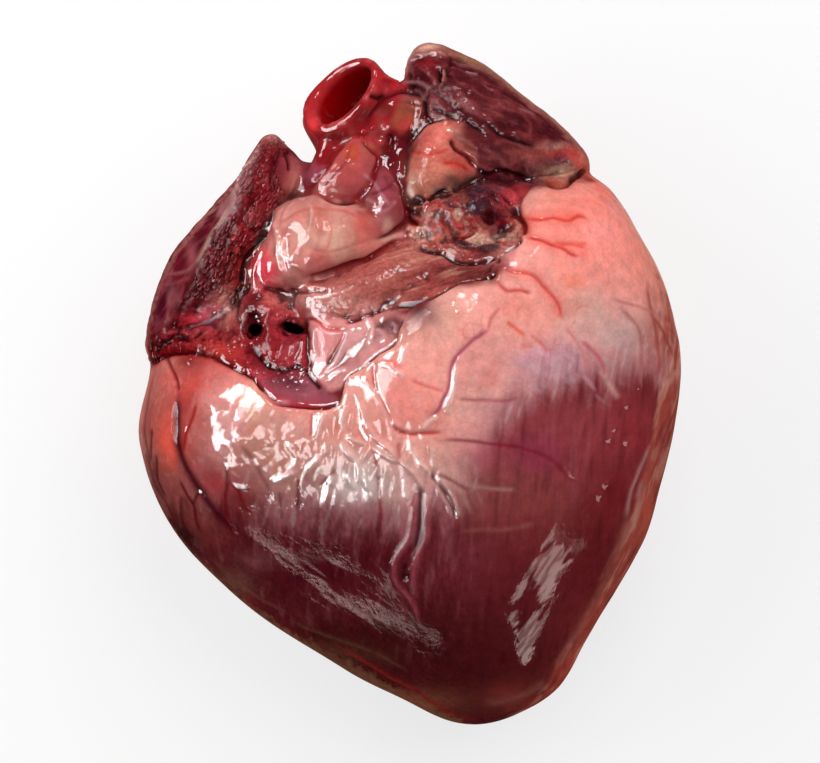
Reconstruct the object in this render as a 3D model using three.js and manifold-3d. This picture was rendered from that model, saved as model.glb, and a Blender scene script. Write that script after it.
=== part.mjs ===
// A raw heart, as a butcher trims it, lying on its back: the great vessels are at +Y, the tip at -Y, and the front
// faces +Z. It is one piece of meat, so it is one solid. Lengths are in millimetres, and z = 0 is the surface it lies on.
//
// Each chamber, auricle and lump of fat is a lobe: a sphere whose equator is stretched to the lobe's outline, seen from
// above, and whose two halves get their own height. The lobes are joined, and the mouth of the aorta is cut out last.
import * as THREE from "three";
import { mergeVertices } from "three/addons/utils/BufferGeometryUtils.js";
import Module from "manifold-3d";

const wasm = await Module();
wasm.setup();

// Driving dimensions
const MIDDLE = [2, -8]; // the centre of the ventricles, seen from above
const WIDEST_LEVEL = 30; // the height at which the ventricles are widest
const FRONT_SWELL = 40; // how far the ventricles rise above that level
const BACK_SWELL = 34; // how far they would sink below it, if the surface didn't flatten them
const TIP_DROOP = 0.1; // how much that level falls for each millimetre towards the tip
const SULCUS_STEP = 7; // how much lower the atria lie than the fat of the ventricles
const SULCUS_BANK = [-3, 5.5]; // where that step begins and ends, as distances from the sulcus
const AORTA_RADIUS = 9.5; // outside, at the cut
const AORTA_WALL = 2.5;
const AORTA_LENGTH = 30;
const LUMEN_DEPTH = 15;
const AORTA_MOUTH = [-13.9, 56.8, 46.5];
const AORTA_HEADING = 138.5; // the way that the mouth looks, seen from above, in degrees from +X
const AORTA_TILT = 50; // the mouth's tilt from straight up, in degrees
const AORTA_FLAT = 0.84; // the limp tube is a little flattened, and its bore more so
const LUMEN_FLAT = 0.78;
const TUBE_SIDES = 28; // facets round the aorta
const VEIN_MOUTH_LEVEL = 54; // the height at which the torn veins open
const VEIN_DEPTH = 9;
const CORONARY_RADIUS = 1.3;
const CORONARY_STEPS = 12; // facets along a coronary vessel, and round it
const CORONARY_SIDES = 6;
const TOP_SHARE = 2 / 3; // of a lobe's facets, those on its upper half

// The ventricles' outline, anticlockwise. Its upper points lie under the atria.
const VENTRICLES = [
  [54.3, 2], [51.6, 17], [45, 31], [36.2, 41], [20, 44], [-6, 41], [-30, 29], [-47, 13], [-53.2, 0],
  [-54.5, -9], [-51.5, -21], [-43.6, -35], [-29.5, -47.5], [-7, -60.8], [12.5, -68.3], [26.5, -63.6],
  [35, -52], [43.7, -37], [50.2, -19.5],
];
// The coronary sulcus, from the right auricle's corner to the left auricle's tip: the atria lie above this line.
const SULCUS = [
  [-60, 1], [-52, 3], [-46, 6], [-40, 5.5], [-34, 2.5], [-29, -1.5], [-24, -4.5], [-17, -4.8], [-12.5, -1],
  [-7, 4.5], [-1.5, 9.5], [1, 14], [5, 16.5], [10, 19.2], [15, 19.6], [18, 23], [22, 27.5], [23.5, 32],
  [22.5, 36.5], [26, 38.8], [30, 38.4], [35.5, 41.3], [44, 47],
];
// The fat and the ridges that stand out of the ventricles' even form: where, how far they reach, and how high.
const SWELLINGS = [
  { at: [37, 27], reach: [15, 14], height: 4.5 }, // the fat at the left auricle's tip
  { at: [12, 11], reach: [9, 8], height: 2.2 }, // the fat over the front groove
  { at: [-1, -3], reach: [6, 7], height: 1.6 },
  { at: [-35, -7], reach: [13, 10], height: 3.2 }, // the fat of the right ventricle
  { at: [-49, -7], reach: [4, 13], height: 1.8 },
  { at: [-45.2, -10], reach: [1.8, 13], height: -1.8 }, // the vein's groove beside it
  { at: [24, -38], reach: [13, 20], height: 1.8 }, // the flank of the left ventricle
  { at: [-14, -38], reach: [14, 9], height: -1.6 },
];

// A smooth step from 0 to 1 as value goes from low to high.
function ramp(value, low, high) {
  const t = Math.min(1, Math.max(0, (value - low) / (high - low)));
  return t * t * (3 - 2 * t);
}

// The points of a smooth curve through the given ones.
function smoothLine(points, closed, count) {
  const curve = new THREE.CatmullRomCurve3(points.map(([x, y, z = 0]) => new THREE.Vector3(x, y, z)), closed);
  return curve.getSpacedPoints(count);
}

// The distance from a point to a line, above zero where the point lies on the line's left.
function sideDistance(line, x, y) {
  let nearest = Infinity;
  let side = 1;
  for (let i = 1; i < line.length; i++) {
    const a = line[i - 1];
    const along = [line[i].x - a.x, line[i].y - a.y];
    const to = [x - a.x, y - a.y];
    const length2 = along[0] ** 2 + along[1] ** 2;
    const t = Math.min(1, Math.max(0, (to[0] * along[0] + to[1] * along[1]) / length2));
    const away = Math.hypot(to[0] - t * along[0], to[1] - t * along[1]);
    if (away < nearest) {
      nearest = away;
      side = along[0] * to[1] - along[1] * to[0] < 0 ? -1 : 1;
    }
  }
  return nearest * side;
}

// A closed three.js geometry as a manifold-3d solid.
function solid(geometry) {
  const bare = geometry.clone();
  bare.deleteAttribute("normal");
  bare.deleteAttribute("uv");
  const merged = mergeVertices(bare, 1e-3);
  return new wasm.Manifold(
    new wasm.Mesh({
      numProp: 3,
      vertProperties: merged.attributes.position.array,
      triVerts: new Uint32Array(merged.index.array),
    }),
  );
}

// A lobe's height at a place that lies the share `out` of the way from its centre to its outline. `up` is the height
// of the unit sphere there, below zero on the lobe's underside.
function lobeHeight(lobe, x, y, up) {
  const { centre, level, crown, depth, slope = [0, 0], fullness = 1, relief = () => 0 } = lobe;
  const middle = level + slope[0] * (x - centre[0]) + slope[1] * (y - centre[1]);
  if (up < 0) return Math.max(0, middle + depth * up);
  return middle + crown * up ** fullness + relief(x, y) * ramp(up, 0, 0.35);
}

// A ring's angle from the top of a sphere, changed so that TOP_SHARE of all the rings lie above the equator.
function crowdedFall(angle) {
  const share = angle / Math.PI;
  const half = Math.PI / 2;
  return share < TOP_SHARE ? (half * share) / TOP_SHARE : half + (half * (share - TOP_SHARE)) / (1 - TOP_SHARE);
}

// The sphere stretched to a lobe. `around` and `over` are its numbers of facets.
function lobeSolid(lobe) {
  const { centre, outline, around, over } = lobe;
  const rim = smoothLine(outline, true, around);
  const geometry = new THREE.SphereGeometry(1, around, over).rotateX(Math.PI / 2);
  const points = geometry.attributes.position;
  for (let i = 0; i < points.count; i++) {
    const turn = Math.atan2(points.getY(i), points.getX(i)) / (2 * Math.PI);
    const fall = crowdedFall(Math.acos(THREE.MathUtils.clamp(points.getZ(i), -1, 1)));
    const out = Math.sin(fall);
    const edge = rim[(Math.round(turn * around) + around) % around];
    const x = centre[0] + out * (edge.x - centre[0]);
    const y = centre[1] + out * (edge.y - centre[1]);
    points.setXYZ(i, x, y, lobeHeight(lobe, x, y, Math.cos(fall)));
  }
  return solid(geometry);
}

const sulcus = smoothLine(SULCUS, false, 90);

// What lifts and lowers the front of the ventricles: the fat, the grooves, and the step down to the atria.
function ventricleRelief(x, y) {
  let lift = -SULCUS_STEP * ramp(sideDistance(sulcus, x, y), ...SULCUS_BANK);
  for (const { at, reach, height } of SWELLINGS) {
    lift += height * Math.exp(-(((x - at[0]) / reach[0]) ** 2) - ((y - at[1]) / reach[1]) ** 2);
  }
  return lift;
}

const ventricles = {
  centre: MIDDLE, outline: VENTRICLES, level: WIDEST_LEVEL, crown: FRONT_SWELL, depth: BACK_SWELL,
  slope: [0, TIP_DROOP], fullness: 0.92, relief: ventricleRelief, around: 60, over: 33,
};

// The turn between two angles, whichever way round is shorter.
function turnBetween(a, b) {
  return Math.abs(Math.atan2(Math.sin(a - b), Math.cos(a - b)));
}

// The height of the ventricles' front above a place, for what lies on it.
const ventricleRim = smoothLine(VENTRICLES, true, 360);
function ventricleTop(x, y) {
  const [cx, cy] = MIDDLE;
  const angle = Math.atan2(y - cy, x - cx);
  const gap = (p) => turnBetween(Math.atan2(p.y - cy, p.x - cx), angle);
  const edge = ventricleRim.reduce((best, p) => (gap(p) < gap(best) ? p : best));
  const out = Math.min(1, Math.hypot(x - cx, y - cy) / Math.hypot(edge.x - cx, edge.y - cy));
  return lobeHeight(ventricles, x, y, Math.sqrt(1 - out * out));
}

// The atria at the back and the roots of the vessels on them, and then the lobes that show in front.
const LOBES = [
  {
    // the atria, between the auricles
    centre: [-4, 30],
    outline: [
      [38, 34], [30, 45.5], [19, 57], [8, 62], [-2, 59], [-9, 52], [-16, 43], [-25, 41], [-37, 33], [-47, 20],
      [-46, 6], [-28, 0], [0, -4], [30, 10],
    ],
    level: 24, crown: 22, depth: 21, around: 26, over: 12,
  },
  {
    // the roots of the great vessels, which fill the space between the auricles
    centre: [-5, 30],
    outline: [
      [25, 32], [20, 41], [12, 51], [2, 56], [-9, 54], [-16, 47], [-21, 41], [-27, 34], [-31, 24], [-30, 12], [-20, 0],
      [-6, 6], [6, 14], [20, 22],
    ],
    level: 36, crown: 18, depth: 16, slope: [0, -0.2], fullness: 0.6, around: 34, over: 15,
  },
  {
    // the left auricle, an ear of dark muscle with fat along its edge
    centre: [15, 50],
    outline: [
      [33, 47.6], [25.5, 55.2], [17.3, 62.6], [9.3, 66.4], [3, 68.3], [-0.9, 65.6], [-2, 60], [-3, 52], [0, 42],
      [10, 35], [22, 36.5], [29.5, 38.2], [35, 41.2], [36, 43.2],
    ],
    level: 33, crown: 20, depth: 20, slope: [-0.08, -0.12], fullness: 0.7, around: 36, over: 15,
  },
  {
    // the right auricle, cut open: its thick wall stands up along the left edge
    centre: [-38, 25],
    outline: [
      [-29.4, 26], [-26, 32.5], [-22.5, 38], [-21.4, 43.4], [-24.6, 46.8], [-27.8, 50], [-30.6, 47], [-36.3, 39.1],
      [-42.8, 31.2], [-48, 24.5], [-51.2, 17.5], [-53.2, 9], [-53, 4], [-48.5, 6.2], [-41, 5], [-34, 6], [-31, 17],
    ],
    level: 31, crown: 20, depth: 19, slope: [0.15, 0.12], fullness: 0.6, around: 40, over: 15,
  },
  {
    // the pulmonary trunk, a pale dome
    centre: [-17, 27],
    outline: [
      [-1, 29], [-6, 34], [-12, 35.5], [-18, 36.8], [-24, 35.4], [-27.6, 32.5], [-29, 27], [-30.5, 22], [-29, 18.5],
      [-24, 17.5], [-17, 19.5], [-9, 23], [-3, 26],
    ],
    level: 47, crown: 14.5, depth: 14, slope: [0.05, -0.1], fullness: 0.7, around: 26, over: 12,
  },
  {
    // the band of muscle that crosses under the trunk, up to the left auricle
    centre: [-3, 20],
    outline: [
      [18, 22], [14, 24.8], [6, 25.6], [-2, 26.5], [-10, 23], [-17, 19.5], [-23, 17.5], [-22, 13], [-13, 11],
      [-4, 12.5], [4, 15.5], [10, 18], [16, 18.5],
    ],
    level: 51, crown: 10.5, depth: 14, slope: [-0.04, -0.12], fullness: 0.6, around: 26, over: 9,
  },
  {
    // the fat over the root of the trunk
    centre: [-12, 8],
    outline: [[-2, 10.5], [-4, 13.5], [-12, 13.5], [-20, 14.5], [-22, 7], [-20, 1], [-16, -2.5], [-11, -1], [-5, 5]],
    level: 52, crown: 10.5, depth: 14, slope: [0.1, -0.05], fullness: 0.6, around: 20, over: 9,
  },
  {
    // the torn stub of the veins
    centre: [-27, 9.5],
    outline: [[-20.5, 8], [-22, 14.5], [-26, 18], [-31, 18.6], [-34.2, 15.5], [-34.5, 9], [-31.5, 3.5], [-27, 0.5], [-22, 2]],
    level: 46, crown: 12, depth: 14, slope: [0.1, 0], fullness: 0.55, around: 20, over: 9,
  },
  {
    // the lump of fat beside the aorta
    centre: [5.5, 43],
    outline: [[12.5, 43], [11.6, 47.5], [8, 51.7], [3.5, 50.8], [0, 46], [-1, 41.5], [-0.6, 37], [2.5, 34.8], [9, 36.5]],
    level: 44, crown: 11.5, depth: 14, slope: [-0.15, -0.15], fullness: 0.55, around: 20, over: 9,
  },
  {
    // the bruised tissue between the auricle and the band
    centre: [11, 31],
    outline: [[23, 31], [22, 36], [16, 39.5], [8, 37], [0.3, 34.6], [-0.6, 30.5], [2, 26], [9, 24.4], [17, 25], [22, 28]],
    level: 47, crown: 11, depth: 14, slope: [0, -0.1], fullness: 0.5, around: 20, over: 9,
  },
  {
    // the lilac lobe at the trunk's shoulder
    centre: [-5, 34.5],
    outline: [[-0.6, 34], [-2.6, 39.3], [-6, 41.2], [-9.5, 37.5], [-9, 31.5], [-7, 27.6], [-3, 28.4]],
    level: 47, crown: 10.5, depth: 12, slope: [0, -0.15], fullness: 0.6, around: 18, over: 9,
  },
  {
    // the wall at the aorta's root
    centre: [-12.5, 41.5],
    outline: [[-6.2, 44.5], [-9, 48.6], [-14, 46.5], [-18, 41], [-20, 36.6], [-13.5, 35], [-9, 37]],
    level: 44, crown: 9.5, depth: 12, slope: [0.1, -0.25], fullness: 0.5, around: 18, over: 9,
  },
  {
    // the brown lobe between the aorta and the left auricle
    centre: [-3.5, 52.5],
    outline: [[2, 52.5], [0.5, 57.5], [-3.5, 60.2], [-8, 59], [-8.5, 52], [-6.5, 47], [-1.5, 47.5]],
    level: 39, crown: 10, depth: 12, slope: [0.1, -0.15], fullness: 0.5, around: 18, over: 9,
  },
  {
    // the aorta's shoulder, where its wall spreads to meet the saddle
    centre: [-15, 48],
    outline: [[-21.2, 52.5], [-20.6, 49.5], [-19, 46.2], [-17.8, 42.5], [-12, 43], [-8, 50], [-12, 54], [-18, 54.5]],
    level: 35, crown: 9, depth: 12, fullness: 0.6, around: 18, over: 9,
  },
  {
    // the saddle between the right auricle and the aorta
    centre: [-19.5, 38.5],
    outline: [[-14, 39], [-17, 43.2], [-20.5, 43.4], [-25, 44], [-26, 38], [-22, 33.5], [-16, 33.5]],
    level: 38, crown: 9, depth: 12, slope: [0, -0.2], fullness: 0.6, around: 16, over: 9,
  },
];

// The two holes in the torn stub: where each enters, and its two half widths.
const VEIN_HOLES = [
  { at: [-31, 10.8], half: [2.1, 2.6] },
  { at: [-22.8, 10.7], half: [2.5, 1.9] },
];

// The coronary vessels that stand out of the front.
const CORONARIES = [
  [[-1, -10.5], [1.5, -18], [1.2, -26], [-0.5, -31], [-3, -36], [-2.2, -40.5], [0.5, -46]],
  [[2, -14], [3, -22], [3.4, -29], [1.6, -35], [0.6, -40], [2, -46]],
  [[-47, -3], [-46.2, -10], [-44, -17], [-40.5, -22], [-36, -29]],
  [[14.6, 11.5], [12.6, 8.5], [9, 4.5], [7.4, -1], [5.4, -5.8], [1, -9.5]],
];

// Turns a solid made along +Y to lie along the aorta's axis, with y = 0 at its mouth. It is `flat` times as thick as
// it is wide.
function placeAorta(geometry, flat) {
  const heading = THREE.MathUtils.degToRad(AORTA_HEADING);
  const tilt = THREE.MathUtils.degToRad(AORTA_TILT);
  const axis = new THREE.Vector3().setFromCylindricalCoords(Math.sin(tilt), heading, Math.cos(tilt));
  const upright = new THREE.Vector3(axis.z, axis.x, axis.y);
  const across = new THREE.Vector3(Math.sin(heading), -Math.cos(heading), 0);
  const thin = new THREE.Vector3().crossVectors(across, upright);
  return geometry
    .scale(1, 1, flat)
    .applyMatrix4(new THREE.Matrix4().makeBasis(across, upright, thin))
    .translate(...AORTA_MOUTH);
}

// The lathe profile of a round edge: a quarter circle about (r, -size), from one angle to another.
function roundEdge(r, size, from, to) {
  return [0, 0.25, 0.5, 0.75, 1].map((t) => {
    const angle = from + (to - from) * t;
    return new THREE.Vector2(r + size * Math.cos(angle), -size + size * Math.sin(angle));
  });
}

// The aorta as a bar with a rounded end, and the space inside it, which flares at the mouth to finish the rim.
const rimRadius = AORTA_RADIUS - AORTA_WALL / 2;
const rimSize = AORTA_WALL / 2;
const aortaBar = placeAorta(
  new THREE.LatheGeometry(
    [
      new THREE.Vector2(0, -AORTA_LENGTH),
      new THREE.Vector2(AORTA_RADIUS + 1, -AORTA_LENGTH),
      new THREE.Vector2(AORTA_RADIUS + 1, -AORTA_LENGTH * 0.6),
      new THREE.Vector2(AORTA_RADIUS - 0.3, -AORTA_LENGTH * 0.2),
      ...roundEdge(rimRadius, rimSize, 0, Math.PI / 2),
      new THREE.Vector2(0, 0),
    ],
    TUBE_SIDES,
  ),
  AORTA_FLAT,
);
const lumenRadius = AORTA_RADIUS - AORTA_WALL;
const lumen = placeAorta(
  new THREE.LatheGeometry(
    [
      new THREE.Vector2(0, -LUMEN_DEPTH),
      new THREE.Vector2(lumenRadius * 0.6, -LUMEN_DEPTH + 1.2),
      new THREE.Vector2(lumenRadius * 0.95, -LUMEN_DEPTH + 5),
      ...roundEdge(rimRadius, rimSize, Math.PI, Math.PI / 2),
      new THREE.Vector2(rimRadius, 3),
      new THREE.Vector2(0, 3),
    ],
    TUBE_SIDES,
  ),
  LUMEN_FLAT,
);

// A vein's hole: a drop-shaped plug that goes straight down into the stub, with a point that clears the front.
function veinHole({ at, half }) {
  const plug = new THREE.LatheGeometry(
    [
      new THREE.Vector2(0, -VEIN_DEPTH),
      new THREE.Vector2(0.7, -VEIN_DEPTH + 1),
      new THREE.Vector2(1, 0),
      new THREE.Vector2(1.25, 3),
      new THREE.Vector2(0, WIDEST_LEVEL + FRONT_SWELL),
    ],
    12,
  ).rotateX(Math.PI / 2);
  return solid(plug.scale(half[0], half[1], 1).translate(at[0], at[1], VEIN_MOUTH_LEVEL));
}

// A vessel half sunk in the ventricles' front, thinning towards its end.
function coronary(route) {
  const line = smoothLine(route, false, CORONARY_STEPS).map(({ x, y }, i) => {
    const sunk = 0.3 + 1.5 * (1 - ramp(Math.min(i, CORONARY_STEPS - i), 0, 3));
    return new THREE.Vector3(x, y, ventricleTop(x, y) - CORONARY_RADIUS * sunk);
  });
  const section = new THREE.Shape();
  for (let i = 0; i < CORONARY_SIDES; i++) {
    const angle = (2 * Math.PI * i) / CORONARY_SIDES;
    section[i ? "lineTo" : "moveTo"](CORONARY_RADIUS * Math.cos(angle), CORONARY_RADIUS * Math.sin(angle));
  }
  const extrudePath = new THREE.CatmullRomCurve3(line);
  const settings = { steps: CORONARY_STEPS, extrudePath, curveSegments: 1, bevelEnabled: false };
  return solid(new THREE.ExtrudeGeometry(section, settings));
}

function heartSolid() {
  const added = [lobeSolid(ventricles), ...LOBES.map(lobeSolid), solid(aortaBar), ...CORONARIES.map(coronary)];
  const whole = added.reduce((sum, piece) => sum.add(piece));
  return [solid(lumen), ...VEIN_HOLES.map(veinHole)].reduce((sum, piece) => sum.subtract(piece), whole);
}

// A manifold-3d solid as a three.js geometry, with the origin under the middle of its box.
function geometryOf(shape) {
  const { numProp, vertProperties, triVerts } = shape.getMesh();
  const corners = new Float32Array(triVerts.length * 3);
  triVerts.forEach((v, i) => corners.set(vertProperties.subarray(v * numProp, v * numProp + 3), i * 3));
  const geometry = new THREE.BufferGeometry();
  geometry.setAttribute("position", new THREE.BufferAttribute(corners, 3));
  geometry.computeBoundingBox();
  const centre = geometry.boundingBox.getCenter(new THREE.Vector3());
  geometry.translate(-centre.x, -centre.y, -geometry.boundingBox.min.z);
  geometry.computeVertexNormals();
  return geometry;
}

const meat = new THREE.MeshStandardMaterial({ color: 0x8e3a3c, roughness: 0.32, metalness: 0 });
const heart = new THREE.Mesh(geometryOf(heartSolid()), meat);
heart.name = "heart";

const group = new THREE.Group();
group.add(heart);
export default group;
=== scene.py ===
# %% [markdown]
# A raw pork heart, lying on its back
#
# A butcher's heart is one piece of meat: two thick chambers of dark red muscle, a coat of pale fat over
# their upper half, and at the top the limp auricles, the cut aorta and torn scraps of the other vessels.
# All of it is wet. It could be sculpted by hand, but then nobody could change it. Here the CAD solid gives
# the form. A fine skin is grown over that solid, and functions then press creases into it, raise vessels on
# it and stain it. Every place is a real position in millimetres, seen from above, with the aorta towards
# +Y.

import bmesh
import bpy
import numpy as np
from mathutils import Matrix, Vector
from mathutils.bvhtree import BVHTree


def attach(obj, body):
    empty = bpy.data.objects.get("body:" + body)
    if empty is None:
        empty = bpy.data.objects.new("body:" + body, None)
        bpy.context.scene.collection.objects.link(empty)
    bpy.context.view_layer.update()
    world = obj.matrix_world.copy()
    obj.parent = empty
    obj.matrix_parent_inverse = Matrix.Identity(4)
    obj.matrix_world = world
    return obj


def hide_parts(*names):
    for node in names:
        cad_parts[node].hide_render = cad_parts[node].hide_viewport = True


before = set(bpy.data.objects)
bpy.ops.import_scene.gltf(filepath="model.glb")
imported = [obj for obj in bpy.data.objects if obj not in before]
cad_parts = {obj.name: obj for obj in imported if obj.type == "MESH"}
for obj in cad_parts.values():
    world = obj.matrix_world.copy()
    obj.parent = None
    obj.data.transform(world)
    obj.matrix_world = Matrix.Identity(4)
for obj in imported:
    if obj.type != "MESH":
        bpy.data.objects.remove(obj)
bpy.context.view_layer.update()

MM = 0.001  # the scene is in metres, and this script's own sizes are in millimetres
FACE_SIZE = 0.33  # the width of one face of the skin
CURVE_STEP = 0.6  # the distance between two points of a smooth curve


def linear(hex_colour):
    """An sRGB hex colour as the linear red, green and blue that shaders use."""
    srgb = np.array([int(hex_colour[i : i + 2], 16) / 255 for i in (1, 3, 5)])
    return np.where(srgb <= 0.04045, srgb / 12.92, ((srgb + 0.055) / 1.055) ** 2.4)


def rise(value, low, high):
    """A smooth step from 0 to 1 as value goes from low to high."""
    t = np.clip((value - low) / (high - low), 0, 1)
    return t * t * (3 - 2 * t)


def curve(points, closed=False):
    """Points close together on a smooth curve through the given ones."""
    p = np.array(points, float)
    if closed:
        p = np.vstack([p[-1], p, p[0], p[1]])
    else:
        p = np.vstack([2 * p[0] - p[1], p, 2 * p[-1] - p[-2]])
    pieces = []
    for a, b, c, d in zip(p, p[1:], p[2:], p[3:]):
        steps = max(2, int(np.linalg.norm(c - b) / CURVE_STEP))
        t = np.linspace(0, 1, steps, endpoint=False)[:, None]
        pieces.append(b + 0.5 * t * (c - a + t * (2 * a - 5 * b + 4 * c - d + t * (3 * (b - c) + d - a))))
    return np.vstack([*pieces, p[-2:-1]])


# %% [markdown]
# Noise
#
# Living tissue is never even. Shaders have noise textures of their own, but here noise also moves points
# and breaks up the edges of stains, so it is worked out with arrays: random numbers on a lattice, blended
# smoothly in between.


# %% Noise with a real lump size
def lattice(cell, seed):
    """A repeatable random number from -1 to 1 for each whole-numbered cell."""
    mixed = cell[:, 0] * 374761393 + cell[:, 1] * 668265263 + cell[:, 2] * 1274126177 + seed * 144665
    mixed = (mixed ^ (mixed >> 13)) * 1103515245
    return ((mixed ^ (mixed >> 16)) & 0xFFFF) / 0x7FFF - 1


def noise(points, size, seed=0, octaves=1):
    """Smooth noise of about -1 to 1, with lumps `size` mm wide. Each octave adds lumps of half the width."""
    total = 0
    for octave in range(octaves):
        p = points * (2**octave / size) + 31.7 * octave
        cell = np.floor(p).astype(np.int64)
        t = p - cell
        t = t * t * (3 - 2 * t)
        for corner in np.ndindex(2, 2, 2):
            share = np.prod(np.where(corner, t, 1 - t), axis=1)
            total = total + share * lattice(cell + corner, seed + octave) / 2**octave
    return total


def ridges(points, size, seed, octaves=1):
    """Noise folded at zero: it makes thin ridges of height 1, with hollows down to -1 between them."""
    return 1 - 2 * np.abs(noise(points, size, seed, octaves))


def stretched(points, degrees, length):
    """Points squeezed along a direction seen from above, so that noise on them makes long streaks."""
    angle = np.radians(degrees)
    along = points[:, 0] * np.cos(angle) + points[:, 1] * np.sin(angle)
    across = points[:, 1] * np.cos(angle) - points[:, 0] * np.sin(angle)
    return np.stack([along / length, across, points[:, 2] / length**0.6], axis=1)


# %% [markdown]
# The skin
#
# The CAD solid has broad facets. A voxel remesh wraps it in small even faces, and relaxing them rolls the
# facets smooth. The aorta is already round and its wall is thin, so there the skin is relaxed much less.

# %% Grow the skin over the CAD solid
AORTA_MOUTH = np.array([-13.8, 56.8, 46.5])  # the middle of its rim
AORTA_HEADING, AORTA_TILT = np.radians([138.5, 50])  # seen from above, and away from the vertical
AORTA_AXIS = np.array(
    [
        np.sin(AORTA_TILT) * np.cos(AORTA_HEADING),
        np.sin(AORTA_TILT) * np.sin(AORTA_HEADING),
        np.cos(AORTA_TILT),
    ]
)
AORTA_WIDE = np.array([np.sin(AORTA_HEADING), -np.cos(AORTA_HEADING), 0])
AORTA_THIN = np.cross(AORTA_WIDE, AORTA_AXIS)
AORTA_FLAT = 0.84  # its thickness over its width
LUMEN_FLAT = 0.78  # the same for its bore

SCRAPS = [
    # route seen from above, half thickness, how deep its middle lies below the surface
    ([(-7, 61), (-4.5, 60), (-2, 58.5)], 0.9, 0.3),
    ([(-26.4, 31.5), (-26, 28), (-25.4, 24.5), (-24.6, 23)], 0.8, 0.4),
    ([(-24.6, 29), (-24.9, 26), (-23.9, 23.6), (-23.2, 20.7)], 0.7, 0.4),
    ([(-19.6, 35), (-19.4, 31.5), (-20.4, 28.5)], 0.7, 0.4),
    ([(-24, 18.4), (-20, 19.3), (-16, 20.4), (-13, 21.8)], 0.9, 0.4),
    ([(-0.2, 39.8), (0.2, 37.2), (1.7, 35.7)], 0.8, 0.4), ([(6.5, 62), (6.4, 60.5), (6.3, 59)], 0.8, 0.2),
    ([(-1, 60.5), (-0.5, 63), (1.5, 64.8), (5, 65.2), (7.6, 64.4)], 0.8, 0.4),
    ([(-33.6, 12.5), (-33, 15.5), (-31, 17.2), (-28.5, 17.2), (-27.5, 14.5), (-28, 11.5)], 0.8, 0.3),
    ([(-29.5, -0.6), (-27, -3.5), (-24, -4.5), (-20, -5), (-16, -4.8)], 0.6, 0.3),
    ([(-17, 1.5), (-14.6, 4), (-13, 7.4), (-12, 10)], 0.7, 0.4),
    ([(-18.6, 10.6), (-18.8, 7.6), (-18.3, 4.6)], 0.6, 0.3),
    ([(8, 36.5), (12, 35), (15, 37), (19, 36.5)], 0.7, 0.3),
    ([(2, 31.5), (5.5, 33.2), (9, 31.5), (12, 32.2)], 0.7, 0.3),
    ([(4, 27.5), (7.5, 29), (11, 27.6), (15, 28.5)], 0.6, 0.3),
    ([(-27.5, 9.5), (-26.5, 6), (-27.2, 3)], 0.8, 0.3),
    ([(-21.5, 8.6), (-23, 7.4), (-24.8, 8), (-26, 6.6)], 0.7, 0.2),
    ([(-40, 8.5), (-37, 9.6), (-35, 12), (-35, 15)], 1.0, 0.4),
]  # fmt: skip
FILLS = [
    # route with the height of its middle, half thickness
    # from the cut face up to the trunk
    ([(-28.2, 33, 48.6), (-29, 31, 48), (-30, 28.5, 47.2), (-31.4, 26, 46.6)], 2.1),
    ([(-31.4, 26, 46.6), (-33, 23.5, 46.6), (-33.5, 21, 46.3), (-33.8, 18, 46)], 2.0),
    # the trunk's left edge
    ([(-29.7, 25, 52.4), (-30.2, 22.5, 52.4), (-30.3, 20, 52), (-29.5, 18.5, 52)], 1.8),
    # round the two vein holes
    ([(-31, 13, 52.5), (-30.2, 12.3, 52.5)], 1.6), ([(-32, 8.6, 52), (-31, 7.6, 52)], 1.4),
    ([(-32.6, 12.2, 52.4), (-32.4, 9.4, 52.6)], 1.1), ([(-31.6, 12.6, 52), (-30.4, 12, 52)], 1.1),
    ([(-24.6, 12.2, 53.6), (-23, 12.6, 54)], 1.0), ([(-24.8, 9.6, 54), (-23.2, 9.2, 54.4)], 0.8),
    ([(-22.5, 12.4, 54), (-21.3, 11.6, 54.5)], 1.5), ([(-24.4, 8.6, 55), (-22, 8.4, 55)], 1.0),
    # beside the patches on the neck
    ([(-18.2, 40, 47.3), (-17, 43.3, 46.2), (-15.8, 46.4, 45.4)], 2.6),
]  # fmt: skip


def remeshed(node, face_size, scraps, fills):
    """The points, square faces and edges of a voxel skin over a CAD node, scraps and fills, in mm."""
    copy = node.copy()
    copy.data = node.data.copy()
    copy.parent = None
    bpy.context.scene.collection.objects.link(copy)
    merged = bmesh.new()
    merged.from_mesh(copy.data)
    bmesh.ops.remove_doubles(merged, verts=merged.verts, dist=0.001 * MM)
    surface = BVHTree.FromBMesh(merged)
    balls = [(x, y, z, thickness) for route, thickness in fills for x, y, z in curve(route)]
    for route, thickness, depth in scraps:
        for x, y in curve(route):
            height = surface.ray_cast((x * MM, y * MM, 1), (0, 0, -1))[0].z / MM
            balls.append((x, y, height - depth, thickness))
    for x, y, z, thickness in balls:
        at = Matrix.Translation((x * MM, y * MM, z * MM))
        bmesh.ops.create_icosphere(merged, subdivisions=2, radius=thickness * MM, matrix=at)
    merged.to_mesh(copy.data)
    merged.free()
    wrap = copy.modifiers.new("wrap", "REMESH")
    wrap.mode = "VOXEL"
    wrap.voxel_size = face_size * MM
    ready = bpy.context.evaluated_depsgraph_get()
    skin = bpy.data.meshes.new_from_object(copy.evaluated_get(ready))
    bpy.data.objects.remove(copy)
    points = np.zeros(len(skin.vertices) * 3)
    skin.vertices.foreach_get("co", points)
    corners = np.zeros(len(skin.loops), np.int64)
    skin.loops.foreach_get("vertex_index", corners)
    edges = np.zeros(len(skin.edges) * 2, np.int64)
    skin.edges.foreach_get("vertices", edges)
    bpy.data.meshes.remove(skin)
    return points.reshape(-1, 3) / MM, corners.reshape(-1, 4), edges.reshape(-1, 2)


PULL = 0.9  # how far a point moves towards the middle of its neighbours in one round of relaxing


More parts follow.
